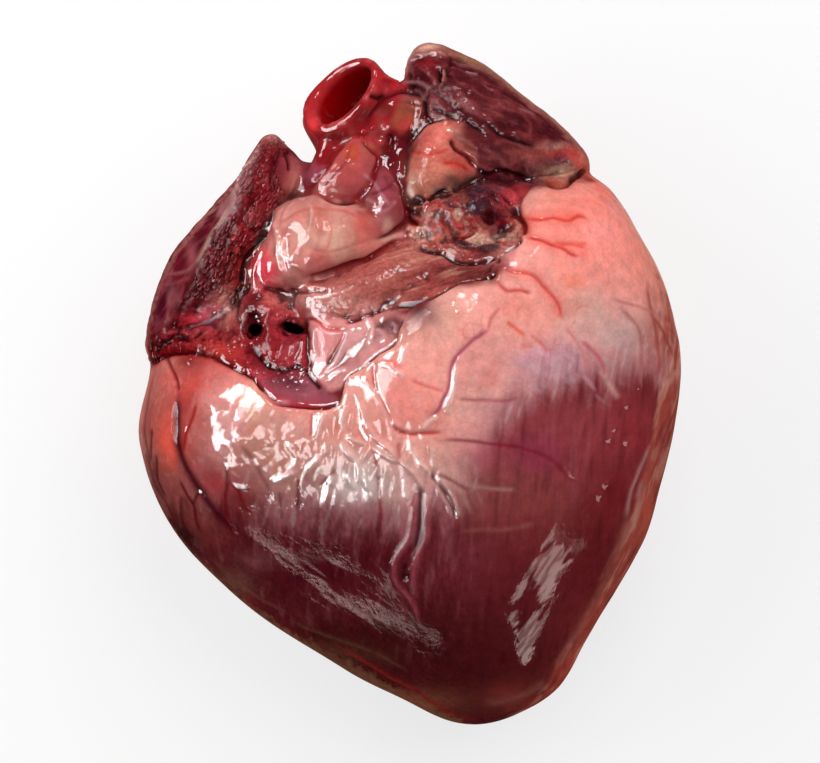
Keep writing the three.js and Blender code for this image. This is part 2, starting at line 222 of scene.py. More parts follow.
def relax(points, edges, spread, share=1.0):
    """Rolls out details smaller than `spread` mm. `share` is how much each point takes part."""
    rounds = max(1, round(spread**2 / (0.5 * PULL * FACE_SIZE**2)))
    a, b = edges[:, 0], edges[:, 1]
    count = np.bincount(edges.ravel(), minlength=len(points))[:, None]
    for _ in range(rounds):
        from_b = [np.bincount(a, points[b, k], len(points)) for k in range(3)]
        from_a = [np.bincount(b, points[a, k], len(points)) for k in range(3)]
        neighbours = (np.stack(from_b, axis=1) + np.stack(from_a, axis=1)) / count
        points = points + (neighbours - points) * PULL * np.reshape(share, (-1, 1))
    return points


def facing(points, faces):
    """The direction in which each point's skin faces."""
    cross = np.cross(points[faces[:, 2]] - points[faces[:, 0]], points[faces[:, 3]] - points[faces[:, 1]])
    total = np.zeros_like(points)
    for corner in range(4):
        for k in range(3):
            total[:, k] += np.bincount(faces[:, corner], cross[:, k], len(points))
    return total / np.maximum(np.linalg.norm(total, axis=1, keepdims=True), 1e-9)


def aorta_place(points):
    """How far each point lies along the aorta's axis, and out from it as wall and bore count it."""
    from_mouth = points - AORTA_MOUTH
    wide = from_mouth @ AORTA_WIDE
    thin = from_mouth @ AORTA_THIN
    return from_mouth @ AORTA_AXIS, np.hypot(wide, thin / AORTA_FLAT), np.hypot(wide, thin / LUMEN_FLAT)


place, faces, edges = remeshed(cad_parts["heart"], FACE_SIZE, SCRAPS, FILLS)
along, out, bore = aorta_place(place)
on_aorta = rise(along, -16, -11) * (1 - rise(out, 10.3, 12))  # its wall ends 10.3 mm from its axis
in_lumen = rise(along, -18, -16) * (1 - rise(bore, 7.6, 8.4))
base_part = rise(place[:, 1], 2, 12)
calm = 1 - 0.97 * np.maximum(on_aorta, in_lumen)  # where lumps and creases would spoil the clean cut
place = relax(place, edges, 2.2, calm * (1 - 0.8 * base_part))
place = relax(place, edges, 0.5)
print("skin:", len(place), "points,", len(faces), "faces")

# %% [markdown]
# Tools for shaping and staining
#
# Three kinds of mark make the whole surface. A line follows a smooth curve: it is a crease where it goes
# in, and a vessel where it stands out. A zone is an area with an outline. A spot is a soft oval. Each can
# move the skin and stain it, and they are measured as seen from above, on the skin that faces up.

# %% Lines, zones and spots
normal = facing(place, faces)
top = rise(normal[:, 2], -0.05, 0.35)
lift = np.zeros(len(place))
tint = np.tile(linear("#6f2529"), (len(place), 1))
seen = np.flatnonzero(top > 0)
wander = np.stack([noise(place, 4, 71, 2), noise(place, 4, 83, 2)], axis=1)


def warped(amount, size, seed):
    """The skin's points, pushed about by up to `amount` mm, so that streaks on them wander."""
    return place + amount * noise(place, size, seed)[:, None]


def near(line, reach, wobble=0.0):
    """The points within reach of a line: which, how far from it, on which side, and at what share of it."""
    flat = place[seen, :2] + wobble * wander[seen]
    inside = np.all((flat > line.min(0) - reach) & (flat < line.max(0) + reach), axis=1)
    chosen, flat = seen[inside], flat[inside]
    best = np.full(len(chosen), np.inf)
    side = np.ones(len(chosen))
    share = np.zeros(len(chosen))
    for i, (a, b) in enumerate(zip(line, line[1:])):
        step = b - a
        t = np.clip((flat - a) @ step / max(step @ step, 1e-12), 0, 1)
        away = flat - a - t[:, None] * step
        distance = np.hypot(away[:, 0], away[:, 1])
        closer = distance < best
        best[closer] = distance[closer]
        turn = step[0] * (flat[:, 1] - a[1]) - step[1] * (flat[:, 0] - a[0])
        side[closer] = np.sign(turn[closer])
        share[closer] = (i + t[closer]) / (len(line) - 1)
    return chosen, best, side, share


def stain(colour, mask, chosen=slice(None)):
    """Lays a colour over the skin's tint, as strongly as mask says."""
    mask = np.clip(mask, 0, 1)[:, None]
    tint[chosen] = tint[chosen] * (1 - mask) + linear(colour) * mask


FINEST_LINE = 0.38  # half the width of the narrowest line that the skin's faces can carry


def line(points, width, height, colour=None, strength=0.8, halo=1.6, wobble=0.15):
    """A crease, where height is below zero, or a vessel. Its half width and its height are in mm."""
    width = max(width, FINEST_LINE)
    chosen, distance, _, share = near(curve(points), 4 * width * max(1, halo / 3) + 2, wobble)
    fade = rise(share, -0.02, 0.15) * (1 - rise(share, 0.85, 1.02)) * top[chosen]
    lift[chosen] += height * fade * np.exp(-((distance / width) ** 2))
    if colour:
        stain(colour, strength * fade * np.exp(-((distance / (width * halo * 0.6)) ** 2)), chosen)


def zone(outline, soft, wobble=0.8):
    """How far each point is inside an outline, from 0 to 1, with an edge `soft` mm wide."""
    rim = curve(outline, closed=True)
    chosen, distance, _, _ = near(rim, 3 + soft, wobble)
    flat = place[:, :2] + wobble * wander
    boxed = np.flatnonzero(np.all((flat > rim.min(0) - soft) & (flat < rim.max(0) + soft), axis=1))
    x, y = flat[boxed].T
    inside = np.zeros(len(boxed), bool)
    for a, b in zip(rim, np.roll(rim, -1, axis=0)):
        crosses = (a[1] > y) != (b[1] > y)
        step_up = np.where(b[1] == a[1], 1e-9, b[1] - a[1])
        inside ^= crosses & (x < a[0] + (y - a[1]) * (b[0] - a[0]) / step_up)
    depth = np.full(len(place), -99.0)
    depth[boxed[inside]] = 99
    depth[chosen] = np.sign(depth[chosen]) * distance
    return rise(depth, -soft, soft)


def spot(centre, reach, wobble=0.5):
    """A soft oval, 1 at its centre."""
    flat = place[:, :2] + wobble * wander
    return np.exp(-(((flat - np.array(centre)) / np.array(reach)) ** 2).sum(1))


def lip(points, width, height):
    """Raises the skin on the right of a line, as the line runs, so that it ends there in a rounded edge."""
    chosen, distance, side, share = near(curve(points), 3 * width, 0.3)
    fade = rise(share, -0.02, 0.08) * (1 - rise(share, 0.92, 1.02)) * top[chosen]
    lift[chosen] += np.where(side < 0, height, 0) * fade * np.exp(-((distance / width) ** 2))


print("facing up:", len(seen), "points")

# %% [markdown]
# Fat and muscle
#
# The fat lies on the upper half of the ventricles and runs out downwards in streaks, because it follows the
# muscle's fibres. A line says where it ends, and streaky noise frays it. Muscle is painted darker towards
# the tip and the left edge, where the wall turns away: partly its own colour, partly painted shade. Where
# it is thin over the rim it looks brown.

# %% Stain the ventricles
FAT_EDGE = [
    (-62, -10), (-54, -16), (-48, -22), (-42, -23), (-36, -22), (-28, -23), (-18, -23), (-9, -24), (0, -24),
    (5, -23), (10, -19), (14.5, -12), (19, -4.5), (26, 1), (36, 3), (44, 4), (50, 5), (62, 6),
]  # fmt: skip
# where the wall turns away, seen from above: at the right, a little inside that, and at the lower left
RIGHT_RIM = [(-20, -90), (10, -72), (24, -61), (36, -42), (44, -22), (49, 0), (51, 20), (60, 60)]
STREAKED_RIM = [(-20, -86), (10, -69), (24, -58), (36, -39), (44, -19), (48, 3), (50, 23), (59, 63)]
LOWER_RIM = [(-60, -16), (-48, -27), (-40, -37), (-30, -45), (-16, -53), (0, -61), (10, -66), (30, -80)]


def above(points, wobble=0.0):
    """How far each point is above a line that runs from left to right, as a height on the page."""
    route = curve(points)
    return place[:, 1] - np.interp(place[:, 0], route[:, 0], route[:, 1]) + wobble


fibres = noise(stretched(place, 86, 9), 1.0, 5, 3)
broad = noise(place, 9, 11, 2)
over_edge = above(FAT_EDGE, 2.4 * fibres + 3.3 * broad)
fat = rise(over_edge, -8, 8)
mauve = rise(over_edge, -9, -1) * (1 - rise(over_edge, 1, 10))

VENTRICLE_SPOTS = [
    # centre, reach, colour, strength, where: 0 for the muscle, 1 for the fat
    # muscle: redder at the upper right, nearly black towards the tip and the left edge, partly painted shade
    ((24, -18), (16, 13), "#86383a", 0.9, 0), ((38, -10), (12, 9), "#92373c", 0.8, 0),
    ((36, -34), (8, 13), "#5e161b", 0.7, 0), ((20, -38), (12, 10), "#601820", 0.6, 0),
    ((-20, -36), (24, 9), "#560f1b", 0.9, 0), ((-6, -53), (26, 10), "#3f0d0e", 0.9, 0),
    ((12, -58), (16, 12), "#50151a", 0.8, 0), ((10, -32), (7, 8), "#6f2c34", 0.7, 0),
    ((22, -55), (7, 6), "#5c1a1c", 0.7, 0), ((-36, -27), (7, 5), "#5c1a20", 0.8, 0),
    ((-42, -28), (4, 5), "#663430", 0.8, 0), ((-46, -30), (3, 7), "#2c0d0c", 0.9, 0),
    ((20, -20), (9, 7), "#8c4440", 0.6, 0),
    # fat on the right side: salmon, and greyer where it lies thin on the muscle
    ((38, 26), (15, 13), "#ea897e", 1.0, 1), ((26, 37), (5, 4), "#cf9686", 0.7, 1),
    ((24, 24), (5, 4), "#ea9a8e", 0.8, 1), ((41, 8), (9, 7), "#b1928f", 0.85, 1),
    ((27, 3), (9, 5), "#c09094", 0.7, 1), ((34, 13), (6, 5), "#d9a597", 0.7, 1),
    ((49, 8), (4, 12), "#a05850", 0.8, 1), ((52, 20), (4, 10), "#c8705c", 0.6, 1),
    # fat on the left lobe: beige and grey in the middle, red towards the left edge
    ((-10, -19), (12, 5), "#c6aca5", 0.9, 1), ((-3, -20), (5, 4), "#b88d82", 0.7, 1),
    ((-22, -19), (8, 4), "#ab7068", 0.8, 1), ((-27, -14), (7, 5), "#cb8a7b", 0.9, 1),
    ((-31, -5), (3.5, 5), "#dda588", 0.8, 1), ((-48, -6), (6, 12), "#bb544c", 0.95, 1),
    ((-49, -19), (5, 7), "#84433b", 0.95, 1), ((-43, -2), (4, 6), "#cb403c", 0.85, 1),
    ((-42, -13), (4, 7), "#bd524e", 0.9, 1), ((-38, -20), (5, 5), "#98393f", 0.95, 1),
    ((-34, -20), (5, 4), "#8c3b40", 0.9, 1), ((-40, 1), (9, 3), "#d4504a", 0.8, 1),
    ((-36, -8), (4, 8), "#dc8f8c", 0.8, 1), ((-25, -8), (5, 4), "#d9968c", 0.7, 1),
    ((-12, -9), (5, 4), "#dc8f80", 0.7, 1),
    # fat in the middle, then up to the left auricle
    ((0, -4), (5, 5), "#f08a80", 0.9, 1), ((-3, 3), (1.6, 1.6), "#e04c3a", 0.8, 1),
    ((5, 3), (4, 6), "#ee9e90", 0.7, 1), ((6, 12), (4, 4), "#e3a796", 0.8, 1),
    ((1.5, 13), (4, 3), "#714448", 0.85, 1), ((13, -4), (6, 4), "#dea89a", 0.7, 1),
    ((14, 3), (6, 6), "#e59690", 0.7, 1), ((22, 12), (6, 5), "#ea9383", 0.7, 1),
    ((31, 20), (3, 2), "#f2795c", 0.5, 1), ((37, 37), (3, 3), "#ee6a5a", 0.7, 1),
    ((34, 32), (8, 5), "#e67a6e", 0.8, 1), ((47, 27), (4, 8), "#d97f6c", 0.6, 1),
    # where the fat ends: mauve
    ((7, -14), (4, 4), "#c99684", 0.7, 1), ((24, -14), (6, 4), "#8c2a50", 0.5, 0),
    ((27, 5), (6, 4), "#b4809a", 0.55, 1), ((40, -22), (5, 6), "#741a1e", 0.7, 0),
    ((30, -8), (8, 4), "#903f44", 0.6, 0), ((11, -20), (4, 5), "#9c645c", 0.5, 0),
    ((12, -14), (5, 4), "#b0606a", 0.6, 1), ((17, -7), (5, 4), "#b0707a", 0.7, 1),
]  # fmt: skip

# the fat, its mauve edge, and the spots
stain("#e79b90", fat)
stain("#995a66", 0.62 * mauve * (0.25 + 0.75 * rise(place[:, 0], -36, -22)))
for centre, reach, colour, strength, on_fat in VENTRICLE_SPOTS:
    stain(colour, strength * spot(centre, reach, 1.5) * (fat if on_fat else 1 - fat))

# the rim: brick red with streaks at the right, brown at the lower left
high_rim = rise(place[:, 2] + 5 * broad, 12, 26)
stain("#a54a3e", 0.85 * high_rim * rise(above(RIGHT_RIM, 1.2 * fibres), 0, -4))
bundles = noise(stretched(place, 88, 4), 2.4, 111, 3)  # fibres lie in bundles
stain("#9c5660", 0.3 * (1 - fat) * rise(over_edge, -36, -10) * rise(fibres + 0.5 * bundles, 0.1, 1.1))
stain("#380a12", 0.32 * (1 - fat) * rise(-fibres - 0.5 * bundles, 0.2, 1.0))
rim_streaks = noise(stretched(place, 66, 4), 1.5, 109, 3)
right_rim = high_rim * rise(above(STREAKED_RIM, 2 * rim_streaks), 0, -5)
stain("#c88a78", 0.5 * right_rim * rise(rim_streaks, 0.1, 0.8))
stain("#5e1c1a", 0.45 * right_rim * rise(-rim_streaks, 0.1, 0.8))
stain("#8c5c44", 0.7 * high_rim * rise(-above(LOWER_RIM, fibres), 0, 1.5))

# pale specks in the fat, wisps where it ends, a frosted patch at the right, and flushed places
stain("#d8c3c4", 0.14 * fat * rise(noise(place, 1.4, 97, 2), 0.3, 0.9))
wisps = noise(stretched(place, 74, 6), 0.9, 99, 2)
stain("#dcc0bc", 0.22 * mauve * rise(wisps, 0.25, 0.9))
frosted = zone([(22, 7), (38, 5), (39, -3), (24, -3)], 2)
stain("#d8b0bc", 0.26 * frosted * rise(noise(stretched(place, -40, 3), 1.3, 84, 2), 0, 0.8))
stain("#c8403a", 0.22 * fat * rise(noise(place, 5, 101, 3), 0.3, 1.0))
print("fat covers", round(100 * fat.mean()), "% of the skin")

# %% [markdown]
# The base of the heart
#
# Above the coronary groove lie the auricles, the trunk of the lung artery and the scraps that the knife
# left. Each is a zone with its own colour. Cut or torn faces are ragged: there the skin is broken into
# strings and pits.

# %% Stain the base, zone by zone
ragged = np.zeros(len(place))


def part(outline, colour, soft=0.7, rough=0.0):
    """One part of the base: its outline, its colour, how soft its edge is in mm, and how ragged it is."""
    mask = zone(outline, soft) * rise(normal[:, 2], -0.5, 0)
    stain(colour, mask)
    ragged[:] = ragged * (1 - mask) + rough * mask
    return mask


# the whole base, above the groove
base = part([(-56, 3), (-50, 5), (-46, 5.5), (-40, 5), (-34, 2.5), (-29.5, -0.5), (-25, -4.3), (-20, -5),
             (-14.5, -4.5), (-11, 1), (-5, 6), (0.5, 12), (7, 17), (16, 19.2), (22, 27.5), (21.5, 34),
             (27, 39), (40, 42), (30, 75), (-30, 75), (-60, 30)], "#7c262b", soft=0.5)  # fmt: skip
# right auricle: its outer skin
auricle_skin = part([(-56, 4), (-49, 10), (-44.5, 17), (-41.5, 23), (-39.8, 28), (-38.3, 30.2),
                     (-36.3, 32), (-34.3, 34.6), (-34, 38), (-33.6, 42), (-29.5, 47), (-27.5, 52),
                     (-36, 47), (-58, 24)], "#7c1f2a")  # fmt: skip
# right auricle: its cut face
part([(-27.5, 50), (-24, 46.5), (-23.5, 40), (-26, 34.5), (-28, 32), (-29.5, 29), (-31, 26.5), (-32, 24),
      (-32.3, 22), (-33, 17.5), (-34.5, 12), (-38, 5), (-46, 5), (-54, 3.5), (-49, 10), (-44.5, 17),
      (-41.5, 23), (-39.8, 28), (-38.3, 30.2), (-36.3, 32), (-34.3, 34.6), (-34, 38), (-33.6, 42),
      (-29.5, 47)], "#560f16", rough=1)  # fmt: skip
# trunk of the lung artery
part([(-27.5, 31.5), (-24, 35.4), (-18, 36.8), (-12, 35.5), (-6, 35), (-1.5, 30), (-2, 27), (-8, 24),
      (-15, 21), (-21, 18.5), (-27, 18.5), (-32.3, 18.5), (-32.2, 22), (-30.6, 25.5), (-28.6, 28.6)],
      "#cc8980")  # fmt: skip
# band of muscle below the trunk
part([(-24, 17.5), (-15, 21), (-8, 24), (-1.5, 27.8), (8, 24.5), (15, 24.3), (18, 24.5), (16, 19.2),
      (10, 18.8), (3, 15.2), (-4, 12.5), (-12, 12), (-20, 13.5)], "#a5504b", rough=0.35)  # fmt: skip
# thin wet sheet below the band
part([(-21, 13), (-12, 12.5), (-3, 13), (0, 11.5), (-5, 6), (-8, 4), (-11, 1), (-15, -1.5), (-19, 1),
      (-20, 6)], "#d98d8a")  # fmt: skip
# torn wall round the two vein holes
part([(-34.5, 14), (-30, 18.5), (-25, 16.8), (-21, 12.5), (-19.5, 6), (-22, 1), (-27, 0.3), (-31.5, 3),
      (-35, 8)], "#962831", rough=0.5)  # fmt: skip
# pocket at the foot of the base
part([(-30, 0), (-22, 1.5), (-16, -1.5), (-14, -4), (-20, -4.8), (-25, -4)], "#914552",
      soft=0.4)  # fmt: skip
# smooth patch at the trunk's upper right end
part([(-10, 31), (-7, 28), (-2.5, 29.5), (-0.6, 33), (-2, 40), (-7, 41), (-10.5, 37)],
      "#8a3c3e")  # fmt: skip
# beige patch below the left auricle
part([(0, 38), (0.5, 45), (3.5, 50.5), (8, 51.5), (12, 48), (13, 43), (10, 37), (5, 35)], "#cb6e61",
      rough=0.15)  # fmt: skip
# torn tissue with clotted blood
part([(0, 36), (5, 36), (12, 38.5), (20, 37), (22.5, 31), (18, 25.5), (9, 24.5), (2, 26), (-0.6, 30)],
      "#a24a44", rough=0.6)  # fmt: skip
# left auricle
part([(-3, 60), (-1, 67), (3, 69.5), (11, 67), (20, 61), (38, 46), (36.5, 41.5), (29.5, 38.5), (22, 37),
      (13, 41), (12.5, 48), (8, 52), (3, 51), (0, 47), (-2, 52)], "#571b20", rough=0.3)  # fmt: skip
# two flat patches on the neck, below the aorta
part([(-19.2, 36.9), (-15.7, 42.1), (-10.9, 47.7), (-8.8, 48.6), (-6.2, 44.7), (-7, 40.8), (-10.9, 35.6),
      (-13.1, 35.2), (-17.9, 36)], "#a84a4c")  # fmt: skip
part([(-8.3, 49.5), (-7.5, 52.1), (-4.4, 55.6), (0.8, 56), (1.7, 53), (-1.8, 48.6), (-6.6, 47.8)],
      "#8a4034")  # fmt: skip
# dark cleft at the right of the neck: its dark maroon is partly painted shade in the cleft
part([(-5.5, 49), (-6, 44), (-4.5, 41.5), (-1.5, 41), (-0.6, 46), (0.5, 49), (-2, 49.5)],
      "#5a0f18")  # fmt: skip
# skin at the left of the neck
part([(-25.5, 44.5), (-20, 44), (-16, 43), (-19.5, 37.5), (-24, 36.5), (-26, 40)], "#8a3541")
# foot of the aorta
part([(-20.5, 50), (-16, 49.5), (-10, 51), (-9.5, 48.5), (-13, 46.5), (-16, 43.2), (-19, 44)],
      "#86161f")  # fmt: skip
print("the base has", round(100 * (ragged > 0.3).mean()), "% ragged skin")

# %% Colours within those zones
BASE_SPOTS = [
    # centre, reach, colour, strength
    # right auricle: the pale and dark folds of its skin
    ((-27.5, 48.5), (2, 1.8), "#b06a62", 0.8), ((-32.5, 42.5), (1.3, 4), "#b98083", 0.75),
    ((-35.5, 37), (2.2, 3.5), "#b06b72", 0.8), ((-36, 34.5), (2, 1.6), "#9c5568", 0.6),
    ((-41, 30), (2, 4), "#54121f", 0.7), ((-44, 26), (2.5, 4), "#84262d", 0.6),
    ((-46, 21), (2, 4), "#6a1826", 0.7), ((-49, 16), (2.5, 4), "#5a1320", 0.7),
    ((-52, 8), (2.5, 5), "#4e0d12", 0.8),
    # right auricle: its cut face, from the top down
    ((-27, 42), (3, 5), "#5c141c", 0.7), ((-31, 36), (3, 5), "#5a0c12", 0.8),
    ((-33, 28), (2, 5), "#8c1c24", 0.6), ((-30, 31), (2, 4), "#7c1018", 0.7),
    ((-41, 20), (4, 3), "#541018", 0.6), ((-34, 21), (2.5, 4), "#7c2a2a", 0.8),
    # right auricle: the wet folds at its foot
    ((-36, 13.5), (3, 3.5), "#ac5650", 0.85), ((-40.5, 12.5), (2.2, 1.8), "#c45a66", 0.8),
    ((-44, 11.5), (2.5, 2), "#a02c34", 0.7), ((-48, 10.5), (2, 2), "#7c2c34", 0.6),
    ((-41, 9), (4, 1.6), "#a03830", 0.6), ((-46, 7.5), (3, 1.6), "#400a0e", 0.8),
    # left of the neck, then the foot of the right auricle
    ((-22.5, 38), (1.8, 3.2), "#c56c5f", 0.85), ((-19.5, 40), (3, 2), "#8e4a5c", 0.7),
    ((-22, 43.5), (2, 1), "#a85a5c", 0.6), ((-38, 6), (4, 2), "#c2423a", 0.8),
    ((-34, 5), (3, 2), "#b02e2c", 0.7), ((-43, 4), (3, 2), "#6a1014", 0.8),
    # trunk: its red left end, its pale middle
    ((-28, 22), (2.6, 4), "#d8404e", 0.95), ((-30.5, 22), (1, 3.5), "#9b0b13", 0.8),
    ((-28.5, 28), (1.3, 3), "#b8343c", 0.8), ((-23, 28), (3.5, 6), "#df8580", 0.9),
    ((-17.5, 30), (3, 4.5), "#d59484", 0.8), ((-13.5, 28), (4, 3), "#c79a88", 0.9),
    ((-9.5, 31), (3, 3), "#bd5650", 0.8), ((-9, 26.5), (3, 2), "#cc7868", 0.7),
    ((-17, 23), (4, 2), "#d8786c", 0.7),
    # band of muscle: pale at the left, dark at the right
    ((-19, 15.5), (4, 1.8), "#d89a94", 0.85), ((-13, 16), (4, 3), "#cc857a", 0.85),
    ((-6, 19), (5, 3), "#ac5f56", 0.8), ((0, 24), (4, 2), "#b06a5c", 0.7),
    ((4, 20.5), (5, 2.5), "#833532", 0.85), ((11, 21.5), (5, 2.5), "#622424", 0.9),
    ((15, 20.5), (2.5, 2), "#4c1a1c", 0.7), ((-4, 15), (3, 1.5), "#b86a60", 0.6),
    ((0, 17), (3, 1.5), "#8c4640", 0.6),
    # thin wet sheet
    ((-17, 9), (2, 3), "#d86c6c", 0.7), ((-13, 4), (3, 3), "#b87c78", 0.6),
    ((-10, 8), (3, 2.5), "#cf9a98", 0.7), ((-4, 10), (2.5, 2), "#7d4a4c", 0.8),
    # round the vein holes and the pocket below them; the darkest, in the stub's mouth, is painted shade
    ((-27, 16), (3, 1.6), "#c46a62", 0.8), ((-31, 14), (2.3, 3), "#4a070d", 0.85),
    ((-27, 8), (3, 4), "#8a1c24", 0.7), ((-23.5, 6.5), (2, 3), "#9c3640", 0.7),
    ((-21.5, 12.5), (1.2, 2), "#c0504a", 0.7), ((-24, 1), (4, 2), "#5c1c28", 0.7),
    ((-19.5, -1.5), (3, 1.6), "#9c5a66", 0.6), ((-28, 3.5), (2.5, 1.5), "#3c080c", 0.7),
    # beige patch, its pale left rim partly painted highlight
    ((5, 48), (3.2, 2.6), "#d66a60", 0.9), ((9, 47), (1.6, 2.5), "#a86458", 0.7),
    ((3, 43), (3, 1.6), "#cf8272", 0.8), ((2.5, 39), (2.5, 2.5), "#c0745e", 0.8),
    ((8, 43), (3, 1), "#c23a30", 0.7), ((7, 38), (3, 2), "#6e4238", 0.8),
    ((0.5, 38), (1, 3), "#dfae9c", 0.8),
    # torn tissue: dark clots, pale shreds
    ((12.5, 37.5), (3.6, 3.2), "#34181b", 0.97), ((14.5, 34), (3.4, 3.2), "#360a10", 0.95),
    ((17.5, 32), (2.8, 2.8), "#5e1218", 0.9), ((21, 37), (2.5, 1.5), "#b2323a", 0.7),
    ((9.5, 33.5), (2.5, 2.5), "#7e4a40", 0.7), ((3.5, 32.5), (3, 2), "#a86258", 0.8),
    ((11, 28.5), (4, 1.6), "#b8766a", 0.7), ((8, 30), (3, 1.2), "#a82c28", 0.6),
    ((2.5, 28), (2.5, 2), "#c08272", 0.7), ((17, 28.5), (3, 2), "#8a4c48", 0.7),
    ((15, 25.5), (3, 1.2), "#3c1216", 0.85),
    # left auricle: from its pale tip down to its foot
    ((2.5, 67), (4, 1.4), "#cf9a86", 0.9), ((3.5, 65.3), (3, 0.9), "#b24a44", 0.8),
    ((-0.8, 63), (0.8, 2.5), "#b87e84", 0.7), ((3, 61.5), (3, 2), "#64141c", 0.7),
    ((12, 61), (5, 2), "#541a20", 0.7), ((6, 56), (2.5, 2), "#8c4248", 0.6),
    ((18, 54), (4, 3), "#7a3636", 0.6), ((12, 48), (3, 2), "#581c22", 0.8),
    ((15, 44), (4, 2), "#6c3436", 0.7), ((17, 40.5), (4, 1), "#3c1014", 0.8),
    ((21, 45), (4, 1.5), "#66302e", 0.6), ((28, 50), (2, 3), "#4c1418", 0.7),
    ((28, 46.2), (3, 0.8), "#b48070", 0.7), ((29, 45), (4, 0.7), "#9c2a22", 0.8),
    ((28.5, 43.3), (3, 1), "#5a2844", 0.85), ((29.5, 41), (3.4, 1.8), "#cda48a", 0.9),
    ((34, 44), (1.4, 2), "#c8785c", 0.7), ((24, 41.5), (2, 1.5), "#5c3238", 0.6),
    # patches on the neck and beside it; the near-black one beside the aorta is painted shade in a cut
    ((-12.5, 42.5), (2.5, 2.5), "#b8504a", 0.7), ((-11.4, 45), (1.6, 1.4), "#c0603c", 0.7),
    ((-15.5, 37.3), (2.5, 1.4), "#b26a5e", 0.7), ((-7.5, 45.8), (1.4, 1.6), "#b8684e", 0.7),
    ((-5.5, 38), (2.4, 2.4), "#a05a68", 0.6), ((-5.5, 31.5), (2.5, 2), "#a86a66", 0.6),
    ((-2, 36), (1.2, 4), "#8c2c38", 0.6), ((-3, 52.5), (2.5, 1.6), "#a0503c", 0.7),
    ((-6, 55.2), (1.8, 1), "#2c0508", 0.85), ((-2, 56.5), (2, 1), "#a85c6c", 0.6),
]  # fmt: skip
for centre, reach, colour, strength in BASE_SPOTS:
    stain(colour, strength * spot(centre, reach) * top)
print(len(BASE_SPOTS), "soft spots on the base")

# %% Streaks on the right auricle, the band and the torn tissue
# the auricle's skin: streaks along its edge, then folds
along_edge = noise(stretched(place, 58, 7), 1.2, 61, 2)
stain("#a85a60", 0.45 * auricle_skin * rise(along_edge, 0.2, 0.9))
stain("#4e0c14", 0.7 * auricle_skin * rise(-along_edge, 0.1, 0.8))
stain("#5c0510", 0.5 * auricle_skin)
skin_folds = ridges(stretched(warped(0.8, 4, 122), 57, 5), 1.5, 121, 3)
# the folds are painted paler on their crests and darker in their hollows: painted light and painted shade
stain("#a2525c", 0.4 * auricle_skin * rise(skin_folds, 0.45, 0.95))
stain("#2c040a", 0.5 * auricle_skin * rise(-skin_folds, -0.3, 0.4))
ragged *= 1 - 0.85 * spot((-39.5, 12.6), (4.5, 3.2))  # one fold at its foot is smooth

# the band's fibres, clearer towards its right end
band_streaks = noise(stretched(place, 17, 8), 0.8, 63, 3)
band = zone([(-20, 14), (-12, 12.5), (-3, 13), (3, 15.5), (16, 19.5), (17, 24), (8, 24.5), (-1.5, 27.5),
             (-8, 24), (-15, 21)], 1)  # fmt: skip
band_right = 0.3 + 0.7 * rise(place[:, 0], -13, -1)
stain("#c58c78", 0.5 * band * band_right * rise(band_streaks, 0.3, 1.0))
stain("#4c1614", 0.6 * band * band_right * rise(-band_streaks, 0.2, 0.9))

# the torn tissue: pale and dark layers, with thin lines of blood between them
tissue = zone([(0, 36), (5, 36.5), (12, 38.5), (20, 37), (22, 31), (17.5, 25.5), (9, 25), (2, 26.5),
               (-0.6, 30)], 1)  # fmt: skip
torn_folds = noise(stretched(warped(1.2, 3, 66), -38, 2.6), 1.9, 62, 3)
stain("#c08c7c", 0.5 * tissue * rise(torn_folds, 0.1, 0.5))
stain("#3a1520", 0.7 * tissue * rise(-torn_folds, 0.25, 0.6))
stain("#8c1a1e", 0.7 * tissue * rise(1 - 5 * np.abs(torn_folds - 0.1), 0.1, 0.8))
print("torn tissue covers", round(100 * tissue.mean(), 1), "% of the skin")

